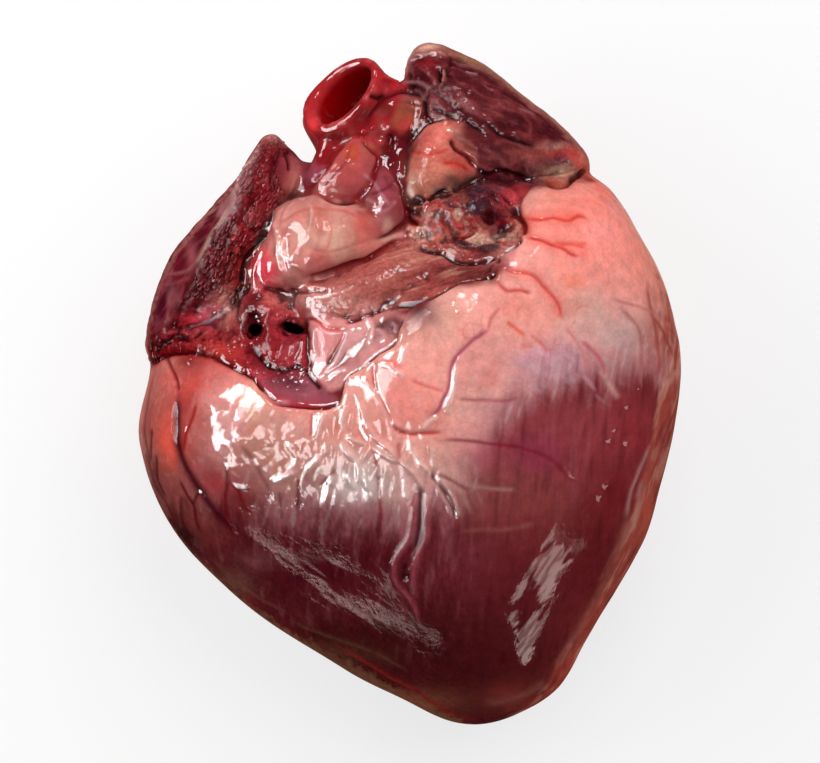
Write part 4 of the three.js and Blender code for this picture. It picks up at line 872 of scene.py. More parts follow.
# %% Raise the vessels
VESSELS = [
    # route, half width, height, colour, strength
    # the great vein at the left, and the vessels beside it
    ([(-45.5, -1), (-45.4, -5), (-45.3, -9), (-45, -12.5), (-44, -16), (-42.5, -18.5), (-41, -21),
      (-39.5, -23.5), (-37.5, -26), (-35, -28.5), (-32, -31)], 0.95, -0.1, "#4a0a1a", 0.97),
    ([(-41.5, -4), (-42.5, -7.5), (-43.5, -10.5), (-44.2, -14)], 0.3, -0.2, "#a80f12", 0.85),
    ([(-51.8, 0.5), (-52.8, -4), (-53, -9), (-52, -14.5), (-51.5, -18), (-50, -21.5), (-48, -25),
      (-46, -29)], 0.4, -0.25, "#561a18", 0.75),
    ([(-50.8, -9), (-51.2, -13), (-51.5, -16)], 0.3, -0.2, "#5c1414", 0.8),
    ([(-49.7, -14), (-49.8, -19), (-48.2, -23.5)], 0.3, -0.2, "#481010", 0.7),
    ([(-45, -18.5), (-43.5, -22), (-42.3, -24), (-42, -27), (-41, -30)], 0.35, 0.15, "#5c0c12", 0.9),
    ([(-42.3, -24), (-41.8, -22.5), (-41, -21.3)], 0.3, 0.1, "#5c0c12", 0.8),
    ([(-44.7, -22), (-45, -26), (-44.5, -29)], 0.3, 0.1, "#4c0c10", 0.7),
    ([(-35.3, -15.5), (-35.4, -19), (-35.9, -22), (-35.8, -26), (-35, -28.5), (-33.5, -31)],
      0.4, 0.2, "#660c16", 0.9),
    ([(-35, -19.5), (-33.5, -21), (-32.5, -24), (-31, -26)], 0.35, 0.1, "#7a101a", 0.85),
    ([(-34, -20.3), (-32.5, -20.9), (-30.8, -20.6)], 0.3, 0.1, "#6c1420", 0.8),
    # thin dark lines on the left lobe
    ([(-33, -12), (-31, -14.5), (-29, -18), (-28, -20), (-27, -24)], 0.3, -0.15, "#8a4a4c", 0.7),
    ([(-21.5, -18), (-21.8, -22), (-22.1, -24.5)], 0.3, 0.1, "#6c1a22", 0.85),
    ([(-25.5, -21), (-25.2, -24.5), (-25, -27)], 0.3, 0, "#5c1c28", 0.6),
    ([(-18.5, -6), (-19, -8.5), (-19.3, -11)], 0.3, -0.2, "#b04048", 0.7),
    # pale folds and blue-red vessels below the groove; the folds' pale colour is partly painted highlight
    ([(-16, -5.8), (-17.3, -8.5), (-18.3, -11.5)], 0.35, 0.3, "#e6c4c4", 0.6),
    ([(15, 11.5), (15, 10), (12.5, 8.2), (10, 6), (8.5, 4.2), (7.7, 2), (7.5, 0), (7, -2), (6, -4),
      (5, -5.8), (2, -8)], 0.5, -0.35, "#a03a58", 0.85),
    ([(17.3, 14.5), (15.6, 12), (15, 10)], 0.35, -0.2, "#c0505a", 0.7),
    ([(8.6, 3), (8.4, 0), (7.9, -2.6), (7, -4.6), (7.6, -6.4)], 0.5, 0.5, "#e8c0bc", 0.6),
    ([(2.3, -9.2), (3.4, -7.6), (5.4, -6.6)], 0.5, 0.4, "#e0c4b8", 0.6),
    ([(-7, -1), (-5.6, -4.3), (-3.8, -7.5), (-2, -9)], 0.4, 0.45, "#e8b8b0", 0.6),
    ([(-5.8, 3.4), (-4, 3), (-2.6, 1.8), (-1, 0.7)], 0.4, 0.5, "#e8c4c4", 0.6),
    ([(-1.8, 3), (-1.2, 5), (-0.3, 7)], 0.4, 0.45, "#e8c4c4", 0.6),
    ([(0, 0.3), (3, -1), (6.5, -2)], 0.25, -0.15, "#c8524c", 0.7),
    ([(8.5, -3.3), (12, -3.5), (18, -3.8), (21, -3)], 0.3, -0.1, "#a04a5a", 0.75),
    # faint lines over the muscle at the right
    ([(5, -11.6), (8, -11.3), (12, -11.5), (17, -12.2), (22, -13), (27, -15), (30, -18), (33, -20)],
      0.3, -0.1, "#7c1a2a", 0.8),
    ([(36.8, 4), (38, 0.5), (40.5, -3.5)], 0.7, 0, "#c8948c", 0.6),
    ([(47, -12), (44.5, -18), (43, -22), (42, -27)], 0.4, 0.15, "#bc8c86", 0.5),
    ([(45.6, -19), (44.4, -24), (43.2, -30)], 0.35, 0.12, "#b08078", 0.5),
    ([(5.5, -13.5), (8.5, -19), (12, -26)], 0.5, 0, "#b08078", 0.45),
    ([(8.5, -14.5), (12, -19.5), (14, -24)], 0.4, 0, "#a8706a", 0.4),
    ([(10, -19.5), (15, -20.5), (20.5, -21)], 0.4, 0, "#b48c84", 0.4),
    # folds of the fat in the middle, and the two vessels that run to the tip;
    # the pale colour of the raised ones is partly painted highlight
    ([(-10.5, -2), (-9.5, -5), (-8.5, -8), (-7, -10.5), (-4, -13), (-2, -15), (0, -17), (1.5, -19),
      (2.5, -20.5), (3.6, -23)], 0.4, 0.55, "#dfa79e", 0.75),
    ([(-7.4, -12.5), (-4.5, -14.3), (-2, -15.6)], 0.35, 0.45, "#dfb4aa", 0.7),
    ([(0.2, -11), (0.5, -13), (2, -15.5), (3.8, -17.3)], 0.4, 0.5, "#dfb8ac", 0.7),
    ([(4, -12), (4.4, -14.5), (4.7, -17)], 0.4, 0.45, "#dcb4aa", 0.6),
    ([(3.8, -17), (5, -19.3), (7, -22), (8.3, -24.5), (8.8, -26.5)], 0.4, -0.5, "#5c1a24", 0.9),
    ([(5.2, -17.3), (6.2, -19.4), (7.9, -21.8), (9, -24.4), (9.3, -26.3)], 0.3, 0.45, "#d8a8a4", 0.7),
    ([(4.3, -18.6), (6, -21.6), (7.5, -24.3), (8, -26.4)], 0.3, 0.4, "#c89c98", 0.6),
    ([(5, -17.6), (7, -18.5), (9.5, -20), (11.5, -21)], 0.25, -0.1, "#6c2430", 0.7),
    ([(1.8, -19.5), (1.9, -23), (1.7, -27), (1.2, -31), (0.2, -34)], 0.8, -0.5, "#46101c", 0.9),
    ([(0.7, -20), (0.6, -26), (0, -30), (-1.6, -32.5), (-3.2, -35.5), (-2.9, -38.5), (-1, -41),
      (0.6, -43.5), (1.8, -48)], 0.6, 0.2, "#93404a", 0.85),
    ([(3.2, -22.5), (3.4, -27), (3, -30), (1.6, -32.8), (0.8, -36), (0.7, -39.5), (1.4, -42.5)],
      0.6, 0.2, "#93404a", 0.85),
    ([(-0.6, -35), (-1.3, -36.5), (-1, -38), (-0.3, -37)], 0.5, -0.5, "#2e0a12", 0.8),
    # pale pleats where the fat ends: raised, their pale colour partly painted highlight
    ([(-7, -12.8), (-6.5, -16), (-6, -20), (-5.8, -24), (-5.6, -28)], 0.3, -0.15, "#8c2832", 0.85),
    ([(-6.4, -16), (-6, -18.5)], 0.25, 0.3, "#e0bcb8", 0.5),
    ([(-14, -16.8), (-16, -18.5), (-17.6, -20.4)], 0.3, -0.15, "#7c2430", 0.8),
    ([(-19.6, -17.2), (-17.6, -14.7), (-15.8, -13)], 0.45, 0.5, "#dcb4ac", 0.7),
    ([(-27, -19.6), (-25, -18.6), (-22, -17.2)], 0.5, 0.5, "#d8c0c0", 0.6),
    ([(-13.3, -11.5), (-12.6, -13.2), (-10.8, -15), (-10, -17), (-9.5, -20)], 0.5, 0.6, "#e2c6c0", 0.75),
    ([(-11.6, -15.5), (-11.8, -18), (-10.8, -20.7)], 0.4, 0.45, "#d8c2bc", 0.6),
    ([(-8.6, -16), (-8.8, -18.5), (-8.4, -21)], 0.4, 0.45, "#d8c2bc", 0.6),
    ([(-12.6, -10.4), (-10.6, -11.4), (-8.6, -12)], 0.35, 0.45, "#e4c4be", 0.6),
    ([(-12.2, -4.5), (-12.8, -7.5), (-12.8, -10)], 0.35, 0.45, "#e4b8b4", 0.6),
    ([(-15.1, -17.5), (-15.2, -20)], 0.35, 0.35, "#d0b4b0", 0.5),
    ([(-0.9, -18), (-0.9, -20.5), (-0.6, -23)], 0.45, 0.4, "#d8bcb8", 0.6),
    ([(-2.3, -11.5), (-2.1, -15)], 0.25, -0.15, "#b84a48", 0.7),
    # right side, from the groove down
    ([(46.5, 19.5), (46.5, 17.5), (47, 14), (48, 10), (48.8, 5), (48.4, 2), (47, 0.6)],
      0.4, 0.1, "#9c4440", 0.85),
    ([(38.5, 16.5), (41, 15.5), (44, 14.8), (46.5, 13.8), (49, 12.6), (50.5, 11.6)], 0.35, 0.1, "#b06a66",
      0.8),
    ([(47.3, 12.8), (49.8, 9.2), (52, 4.5)], 0.35, 0.1, "#8a3c36", 0.85),
    ([(53.2, 8), (52.4, 4), (51.9, 2)], 0.35, 0.1, "#8a2c20", 0.8),
    ([(40.5, 14.8), (43, 12), (44.5, 9.5), (45, 6), (44.9, 2), (44.6, -1)], 0.35, 0.1, "#a4605e", 0.8),
    ([(29.6, 11), (32, 8), (33.5, 5), (34.2, 1)], 0.3, 0, "#c86a68", 0.6),
    ([(32.8, 8.2), (35, 6.2), (36.8, 4.2), (37.8, 1)], 0.45, 0, "#b0445a", 0.7),
    ([(18.3, 11.6), (20, 10.2), (22, 8.8)], 0.3, -0.1, "#d84a30", 0.8),
    ([(22.8, 9), (24.7, 7.7), (26.6, 5.4)], 0.25, -0.1, "#c85a50", 0.6),
    ([(21, 7), (23.4, 6.7)], 0.25, 0, "#d8645c", 0.6),
    # lines along the lower rim and the right rim
    ([(-15, -52), (-10, -54.6), (-5, -57.3), (0, -59.8), (4, -62.3), (9, -65.4), (14, -66.6)],
      0.35, 0.2, "#8e2422", 0.85),
    ([(-40, -35), (-36, -38), (-30, -42.5), (-24, -45.5)], 0.4, 0.1, "#74443a", 0.5),
    ([(-24, -47), (-16, -50.5), (-8, -53), (0, -57)], 0.35, 0.1, "#6c4434", 0.5),
    ([(44, -24), (41.5, -30), (39.5, -36), (36.5, -43), (32.5, -50), (28, -56)], 0.8, 0.1, "#96544c", 0.45),
    ([(46.5, -20), (44.8, -25), (43, -30)], 0.4, 0.1, "#ad7466", 0.5),
    ([(9.5, -29.2), (14, -28.6), (19, -28.6), (25, -27.6)], 0.5, 0, "#9a5a50", 0.35),
    ([(14, -63), (18, -62.8), (23, -61), (26.5, -58.5)], 0.8, 0.15, "#8c4e46", 0.6),
    # left auricle: strings and folds; the first, near white on the beige patch's rim, is partly painted
    # highlight
    ([(0.4, 39.5), (-0.3, 37.5), (0.9, 36)], 0.5, 0.4, "#e8cabc", 0.8),
    ([(6.3, 61.6), (6.5, 60), (6.2, 58.5)], 0.45, 0.9, "#9c6058", 0.85),
    ([(-1.3, 60.5), (-0.7, 63), (1.5, 64.6), (5, 65), (7.6, 64.3)], 0.4, 0.6, "#b07872", 0.75),
    ([(-1.8, 59.4), (1, 59), (3.6, 57.6)], 0.3, 0.4, "#a87476", 0.6),
    ([(-0.6, 57.6), (1.4, 56.8), (2.4, 55.2)], 0.3, 0.35, "#9c6468", 0.6),
    ([(0.8, 62.2), (3.2, 60.4), (5.4, 57.8)], 0.3, 0.3, "#8c4a50", 0.5),
    ([(9, 63), (13, 62.6), (17, 61.2)], 0.3, 0.3, "#94545a", 0.5),
    ([(11, 61.4), (13.6, 61)], 0.25, 0.35, "#b08486", 0.6),
    ([(-6.1, 59.5), (-4, 59.3), (-2, 58.8)], 0.5, 0.7, "#b01e1e", 0.8),
    ([(6.5, 66.3), (12, 64), (18, 61.2), (24, 56.3), (30, 50.6), (34.5, 45)], 0.9, 0.3, "#9a6a50", 0.75),
    # right auricle: the edge of its cut face, then the folds at its foot
    ([(-38, 31.7), (-35.8, 33.7), (-34.2, 36), (-33.8, 39.5), (-31.6, 43), (-29.2, 46.5)],
      0.6, 0.5, "#b98e88", 0.6),
    ([(-50, 8.4), (-47, 9.8), (-44, 9.4), (-41, 10.4), (-38, 9.8)], 0.5, 0.6, "#a83040", 0.7),
    ([(-48.4, 6.4), (-45, 7.2), (-42, 7), (-39, 7.8), (-36, 7.4)], 0.5, 0.6, "#8c1c26", 0.7),
    ([(-52, 8.2), (-49.6, 11.4), (-47.6, 14), (-45.6, 18.6), (-43, 21.4), (-41.4, 24.4)],
      0.4, 0.35, "#7c3038", 0.5),
    ([(-42.4, 22.6), (-40.8, 25.6), (-39.4, 28.6), (-37.4, 31.4), (-35.8, 33.6)], 0.4, 0.4, "#bc9484", 0.6),
    # smooth patch, neck and trunk: fine veins and raised edges
    ([(-9.4, 40.6), (-7.4, 39), (-5.6, 36.2), (-4, 34)], 0.38, 0.12, "#c08490", 0.6),
    ([(-8.6, 36.6), (-6, 37.2), (-3.6, 38.6), (-2.6, 40.4)], 0.38, -0.12, "#5c1626", 0.7),
    ([(-7.4, 32.6), (-4.6, 33.4), (-2.6, 35.4)], 0.38, 0.12, "#b87480", 0.6),
    ([(-5.4, 41.2), (-4, 38.4), (-1.8, 36)], 0.38, -0.1, "#7c2434", 0.6),
    ([(-17.6, 37.6), (-15.4, 40.2), (-12.8, 43), (-11.6, 46.4)], 0.38, -0.12, "#7c1c20", 0.6),
    ([(-12.8, 44.4), (-12, 46), (-10.6, 45.6), (-10.4, 44.2), (-11.6, 43.6), (-12.8, 44.4)],
      0.38, 0.3, "#c23a20", 0.8),
    ([(-18.6, 37.6), (-16, 41.6), (-13, 45.4), (-10.6, 48)], 0.38, 0.4, "#c0504c", 0.7),
    ([(-8.2, 48.4), (-6.6, 45), (-7.2, 41.4)], 0.38, 0.4, "#8c2028", 0.7),
    ([(-26, 30), (-22, 32.8), (-17, 33.6), (-12, 33), (-8, 30.6)], 0.38, -0.1, "#b8483c", 0.5),
    ([(-20, 26), (-16, 25), (-11, 26.4), (-7, 28)], 0.38, -0.1, "#b04a40", 0.45),
    ([(-17, 32.6), (-15.4, 29.6), (-16.2, 26), (-18.4, 23)], 0.38, 0.1, "#c8604c", 0.45),
    ([(-13, 31), (-11, 28.4), (-11.6, 25)], 0.38, 0.1, "#a89a7c", 0.4),
    # right auricle: folds of its skin, then strings over its cut face
    ([(-48, 21), (-44.5, 21.6), (-42, 23.2)], 0.35, 0.3, "#9c5a60", 0.6),
    ([(-49.3, 19), (-46, 19.4), (-43, 20.5)], 0.3, 0.25, "#8c4048", 0.5),
    ([(-40.4, 33), (-43, 29.5), (-46, 26)], 0.4, 0.2, "#8c4450", 0.4),
    ([(-39.6, 29), (-42.2, 27), (-45, 24)], 0.38, 0.2, "#8c4450", 0.35),
    ([(-51.3, 12), (-51.8, 9), (-52.2, 6.5)], 0.3, 0.2, "#8a4440", 0.6),
    ([(-32.9, 31), (-34, 29), (-34.4, 26.6), (-34.8, 24.6)], 0.4, 0.6, "#8e2c34", 0.6),
    ([(-30.9, 34.3), (-31.2, 32), (-31.8, 30)], 0.35, 0.6, "#9c4a4e", 0.6),
    ([(-29.2, 34), (-29.8, 32), (-30.8, 29.8)], 0.3, 0.5, "#8c3038", 0.6),
    ([(-31.6, 22.5), (-32.2, 20.2), (-32.7, 17.6)], 0.3, 0.6, "#a8404a", 0.6),
    ([(-29.9, 7.2), (-29.7, 5.2)], 0.3, 0.5, "#b8848a", 0.6),
    # trunk, band and thin sheet: pale wet edges, their pale colour partly painted highlight
    ([(-26.3, 31.5), (-25.9, 28.5), (-25.6, 25), (-25, 22.8)], 0.3, 0.45, "#e8b4b0", 0.6),
    ([(-24.6, 28), (-24.8, 25.5), (-23.8, 23.4), (-23.2, 20.6)], 0.3, 0.4, "#e8b4b0", 0.6),
    ([(-19.5, 34.5), (-19.3, 31.5), (-20, 28.5)], 0.4, 0.4, "#e8b8ac", 0.5),
    ([(-25, 18.2), (-22, 17.6), (-17.5, 18.6)], 0.4, 0.4, "#d8817a", 0.6),
    ([(-19, 20), (-17, 20.2), (-14.6, 20.8)], 0.4, 0.5, "#e0b0a8", 0.6),
    ([(-20.6, 16), (-15.5, 16.4), (-11, 18.4)], 0.4, 0.2, "#dc9c92", 0.5),
    ([(-9, 13), (-7.4, 10), (-8.4, 7)], 0.3, 0.45, "#d8b0b0", 0.6),
    ([(-6.6, 10.2), (-5, 8.4), (-6.6, 7.2)], 0.3, 0.4, "#c89ca0", 0.6),
    ([(-3.7, 11.2), (-2.7, 10.4), (-3.2, 9)], 0.3, 0.45, "#c8a0a4", 0.6),
    ([(-9, 35.8), (-7.4, 35), (-6.4, 34.6)], 0.3, 0.35, "#c08a94", 0.5),
    ([(-17, 1.5), (-14.6, 4), (-13, 7.4), (-12, 10)], 0.45, 0.5, "#e4c4c8", 0.7),
    ([(-18.6, 10.6), (-18.8, 7.6), (-18.3, 4.6)], 0.4, 0.45, "#e4bcc0", 0.7),
    ([(-16.4, 0.4), (-15, 1.8), (-12.4, 2.6)], 0.35, 0.35, "#d8b0b4", 0.6),
    ([(-28.7, -1.6), (-27, -3.4), (-25.2, -3.9), (-23, -4.2)], 0.25, 0.4, "#d09098", 0.6),
]  # fmt: skip
for points, width, height, colour, strength in VESSELS:
    line(points, width, height, colour, strength)
print(len(VESSELS), "vessels and fine folds")

# %% [markdown]
# Relief that has no outline
#
# Fat is lumpy, muscle is striped by its fibres, and a torn face is a tangle of strings and pits. A ridged
# noise, which folds at zero, gives strings; squeezed along the fibres it gives stripes.

# %% Add lumps, stripes and strings
VEIN_HOLES = [((-30.6, 9.8), (0.3, 0.8)), ((-23.2, 10.7), (0.9, 0.35))]  # centre, reach
HOLE_DEPTH = 1.5  # pressed in, on top of the hollow that the fills leave free
GLINT_SIZE, GLINT_HEIGHT = 0.6, 0.4
GLINTS = [
    # where a small bump of the film stands, and catches one glint
    (1.3, 31), (0.6, 29.3), (7.8, 25.4), (8.4, 24.2), (3, 34.4), (4.3, 34.6), (3, 35.9), (-5, 35),
    (-3.6, 34.4), (-7, 30.8), (-3.4, 42.8), (-2.7, 46.6), (-8.3, 49), (-14.5, 38.6), (-20.6, 19.2),
    (-20, 18.4), (9.2, 52), (10, 51.2), (6.6, 52.7), (10.3, 58.2), (11.2, 57.9), (12, 57.2), (17, 57.3),
    (17.8, 57), (15.2, 52.2), (16, 50.9), (20.8, 48.6), (22.4, 47.8), (14.8, 41.4), (15.6, 41),
    (16.9, 40.8), (9.3, 54.3), (5.9, 58.5), (18.5, 23.6), (17.2, 20.3), (8.6, 15), (9.3, 13.6),
    (-18.7, 34.6), (-33, 5.6), (-36.8, 5.4), (-38.6, 4.4), (-34, 3.6), (-31.4, 2.8), (-29.8, 2.4),
    (-31.8, 1), (-43.4, 3.6), (-41.6, 8.2), (-39.6, 8.4), (-36.6, 9), (-34.2, 8.2), (-32.8, 7.2),
    (-40, 9.6), (-26, 3), (-24.6, 3.6), (-23.4, 2), (-22.2, 1), (-24.4, 0.8), (-20.6, 0.4), (-26.6, 1.4),
    (-21.6, 3.4), (-25.4, 12.2), (-26.8, 14), (-29, 12), (-31.9, 12.2), (-31.6, 15), (-27.9, 38),
    (-27.6, 36), (-28.3, 39.4), (-26.4, 44), (-25.2, 43), (-27.4, 45), (-28.8, 42.4), (-26.2, 41.4),
    (-30.6, 40), (-31.3, 38.6), (-36.4, 23.4), (-37, 21.6), (-37.6, 20), (-36, 25), (44.3, -1), (42, -4.5),
    (39.5, -9), (38.5, -11), (42, -11.5), (38.2, -20), (37, -22), (-11.3, 0.2), (-8.4, 0.8), (-15.4, 51.3),
    (-17.5, 50.3), (-12.5, 53.8),
]  # fmt: skip
# where the film of juice is lumpy: the left lobe, and a patch at the right
film = zone([(-34, -7), (-30, -7), (-24, -9), (-18, -10), (-19, -15), (-27, -16), (-33, -14)], 1.5)
film += zone([(22, 8), (31, 12), (32, -2), (21, 0)], 3)
on_lobe = zone([(-41, 2), (-20, -3), (-16, -14), (-28, -24), (-42, -18)], 2)
film += 0.5 * on_lobe * rise(noise(place, 4, 74, 2), -0.2, 0.6)
sheen = zone([(-43, 3), (-30, 0), (-20, -4), (-14, -6), (-14, -16), (-26, -18), (-42, -16)], 2)
RIM_SWELLS = [
    # centre, reach, height: where the outline bulges or falls back a little
    ((30, -60), (10, 7), 1.1), ((8, -68), (16, 6), 1.2), ((-11, -60), (12, 6), 0.8),
    ((47, -30), (6, 8), 0.9), ((16, 60), (18, 9), -1.6), ((-36, 40), (6, 9), -0.9),
    ((-21.5, 56), (3, 6), 1.2), ((-53, -2), (4, 5), -0.5), ((46, 27), (5, 9), -0.8),
    ((-50, -22), (8, 14), 0.5),
]  # fmt: skip
# strings, pits, pleats and stripes, each along the fibres of its own part
strings = ridges(stretched(place, 66, 4), 1.2, 21, 3)
torn_across = ridges(stretched(warped(0.8, 3, 24), -36, 4), 1.2, 22, 3)
strings += (torn_across - strings) * rise(place[:, 0], -8, -2)
pits = noise(place, 1.1, 33, 2)
pleats = ridges(stretched(warped(1.2, 4, 72), 84, 5), 2.2, 73, 2)
creased = zone([(-28, 31), (-22, 35), (-18, 35), (-18.5, 28), (-22, 20), (-31, 19)], 1)
pleated = zone([(-22, -8), (-8, -4), (2, -9), (9, -14), (9, -26), (-8, -25), (-24, -22)], 2.5)
over_groove = above([(-60, 4), (-30, -2), (-12, -2), (0, 11), (20, 24), (60, 50)])
muscle = (1 - fat) * (over_groove < 0)
ventricle_fat = fat * (1 - base_part * top * (over_groove > 0))
left_streaks = noise(stretched(place, -36, 7), 1.3, 47, 2)
right_streaks = noise(stretched(place, 52, 5), 1.8, 49, 2)
streaks = np.where(place[:, 0] < 13, left_streaks, right_streaks)
tucks = ridges(warped(1.2, 3, 68), 2.6, 69, 2)
print("muscle shows on", round(100 * muscle.mean()), "% of the skin")

# %% Move the skin
# how high each pattern is, in mm
lift += 0.4 * noise(place, 13, 41, 1) * calm
lift += 0.2 * ventricle_fat * noise(place, 5.5, 43, 1)
lift += 0.035 * ventricle_fat * film * noise(place, 1.3, 45, 2)
lift += 0.013 * muscle * streaks + 0.08 * muscle * noise(stretched(place, -36, 2), 5, 48, 1)
lift += ragged * top * (0.22 * strings + 0.3 * pits)
lift += 0.17 * on_auricle * (0.3 + 0.7 * top) * (wrinkles + 0.35 * brushed)
lift += 0.26 * tissue * torn_folds * top
lift += auricle_skin * (0.1 * along_edge + 0.16 * skin_folds)
lift += 0.1 * band * band_right * band_streaks
lift += 0.05 * base * calm * tucks
lift += (0.3 * pleated + 0.35 * creased) * pleats
lift += 0.13 * sheen * noise(place, 3.4, 76, 3)
for centre, reach, height in RIM_SWELLS:
    lift += height * spot(centre, reach, 0) * (1 - 0.7 * np.abs(normal[:, 2]))
for x, y in GLINTS:
    lift += GLINT_HEIGHT * spot((x, y), (GLINT_SIZE, GLINT_SIZE), 0.2) * top
# each vein hole is pressed in, and painted near black inside as painted shade
for centre, reach in VEIN_HOLES:
    hole = spot(centre, reach, wobble=1.2) * top
    lift -= HOLE_DEPTH * hole
    stain("#1a0305", 0.95 * rise(hole, 0.3, 0.7))
# on ragged skin the gaps between the strings get painted shade, and their crests a little painted light
stain("#38090d", ragged * top * 0.55 * rise(-strings, 0.0, 0.8))
stain("#b0505c", ragged * top * 0.2 * rise(strings * rise(pits, -0.2, 0.6), 0.4, 0.95))

# move it; then its hollows get painted shade, dark or red where the skin is thin, and its bumps painted
# light
place = relax(place + normal * lift[:, None], edges, 0.3, 0.6)
normal = facing(place, faces)
thin_skinned = zone([(-21, 36), (-21, 50), (-10, 51.5), (-4, 48), (-0.5, 41), (-0.6, 32), (1, 28),
                     (-8, 22.5), (-22, 17.5), (-24, 21), (-12, 26), (-8, 30), (-12, 35)], 1)  # fmt: skip
hollow = ((relax(place, edges, 1.5) - place) * normal).sum(1)
stain("#8a1a20", 0.5 * thin_skinned * rise(hollow, 0.03, 0.28))
stain("#250509", 0.75 * base * calm * (1 - 0.75 * thin_skinned) * rise(hollow, 0.04, 0.3))
stain("#a83c40", 0.15 * base * calm * rise(-hollow, 0.08, 0.35))
print("relief from", round(lift.min(), 1), "to", round(lift.max(), 1), "mm")

# %% Say where the skin is wet, and where shreds and drops lie
DULL = [
    # centre, reach, how much drier the skin is there
    ((-13, 41), (6, 5), 0.75), ((-28, 10), (6, 6), 0.65), ((4, 56), (6, 7), 0.5), ((24, 52), (10, 8), 0.5),
    ((0, -36), (5, 14), 0.8), ((-15, 55), (9, 9), 0.4), ((28, 28), (12, 7), 0.8), ((12, 15), (7, 3), 0.5),
    ((1.5, 13), (3.5, 3), 0.9), ((-45.5, 20), (6, 13), 0.97), ((1.5, 41), (4, 5), 0.85),
    ((5, 56), (6, 5), 0.85), ((-46.5, -9), (1.8, 9), 0.97), ((-46, 1), (3, 3), 0.8),
    ((-23.8, 9.3), (1.8, 1.5), 0.95), ((-31, 9.5), (1.5, 2), 0.9), ((0, 12.5), (4, 3), 0.7),
    ((-41, 11.5), (6, 3), 0.8), ((-16.5, 9), (2.6, 4), 0.75), ((-19, 30), (6, 4), 0.6),
    ((-12, 28), (6, 4), 0.7), ((-19, 41), (3, 3), 0.6), ((6, 29), (5, 4), 0.6), ((1.5, -27), (4, 7), 0.7),
]  # fmt: skip
clouded = noise(stretched(place, 60, 2), 1.5, 77, 3)
wet = (1 - 0.9 * auricle_skin) * (1 - 0.8 * ragged * top) * (1 - 0.9 * sheen * rise(clouded, 0.3, 0.6))
wet *= 0.2 + 0.8 * rise(normal[:, 2], 0.0, 0.45)  # juice drains off the steep sides

# on the muscle the film is thin and torn: streaks of it shine at the lower right and the lower left
torn_film = noise(stretched(place, 52, 3), 1.6, 85, 4)
shining = spot((27.5, -38.5), (5.5, 6.5)) + spot((24, -52.5), (4.8, 6.5))
lower_right = np.clip(1.5 * spot((27, -45), (13, 20)), 0, 1)
scratches = noise(stretched(place, 56, 5), 0.6, 86, 3)
still_wet = rise(shining + 0.7 * torn_film, 0.25, 0.5) * (0.4 + 0.6 * rise(scratches, -0.4, 0.3))
wet *= 1 - lower_right * (1 - still_wet)
lower_left = np.clip(1.6 * spot((-18, -42), (26, 9)), 0, 1) * (place[:, 0] < 6)
wet *= 1 - lower_left * (1 - rise(noise(stretched(place, -37, 5), 2.2, 87, 3), -0.05, 0.2))
for centre, reach, dry in DULL:
    wet *= 1 - dry * spot(centre, reach, 1)

WET_PLACES = [
    # centre, reach, how thickly the drops lie
    ((-29, 0.5), (5, 2.5), 1), ((-23, 1.5), (3, 2.5), 1), ((-38, 6), (5, 2), 0.7), ((-29, 12), (4, 4), 0.5),
    ((-8, 48.5), (1.5, 1.5), 0.8), ((9, 51.5), (3, 1.2), 0.6), ((17, 57), (2, 1), 0.4),
    ((0.5, 31), (1.5, 2), 0.8), ((8, 25), (3, 1), 0.6), ((3, 35), (2, 1.2), 0.6),
    ((-36, 21), (2.5, 5), 0.5), ((-29, 37), (2, 5), 0.5), ((16, 41), (3, 1), 0.5),
    ((18, 22), (1.5, 2), 0.5),
]  # fmt: skip
drops = sum(thickly * spot(centre, reach) for centre, reach, thickly in WET_PLACES) * top
folded = np.clip(1.5 * spot((-39, 9), (10, 7)), 0, 1)  # the folds at the auricle's foot carry no shreds
loose = rise(ragged, 0.75, 0.95) * rise(normal[:, 2], 0.2, 0.5) * (1 - folded)
print("shreds lie on", round(100 * loose.mean(), 1), "% of the skin")

# %% [markdown]
# Wet meat, as a material
#
# Raw meat is red because of the pigment in its muscle, and a film of juice lies on it. Light goes a little
# way into it, mostly the red. So the shader has some light scattering below the surface, a rough body, and
# a smooth thin coat on top that gives the white glints. Its colour is the tint that the skin carries, with
# finer mottling of its own.


# %% A node in one call
def add(tree, kind, settings=(), **links):
    """Adds a node. Settings are its properties, or inputs by name or number. The link _0 feeds input 0."""
    node = tree.nodes.new(kind)
    for name, value in dict(settings).items():
        if isinstance(name, str) and hasattr(node, name):
            setattr(node, name, value)
        else:
            node.inputs[name].default_value = value
    for name, source in links.items():
        key = int(name[1:]) if name[1:].isdigit() else name.replace("_", " ")
        tree.links.new(source, node.inputs[key])
    return node


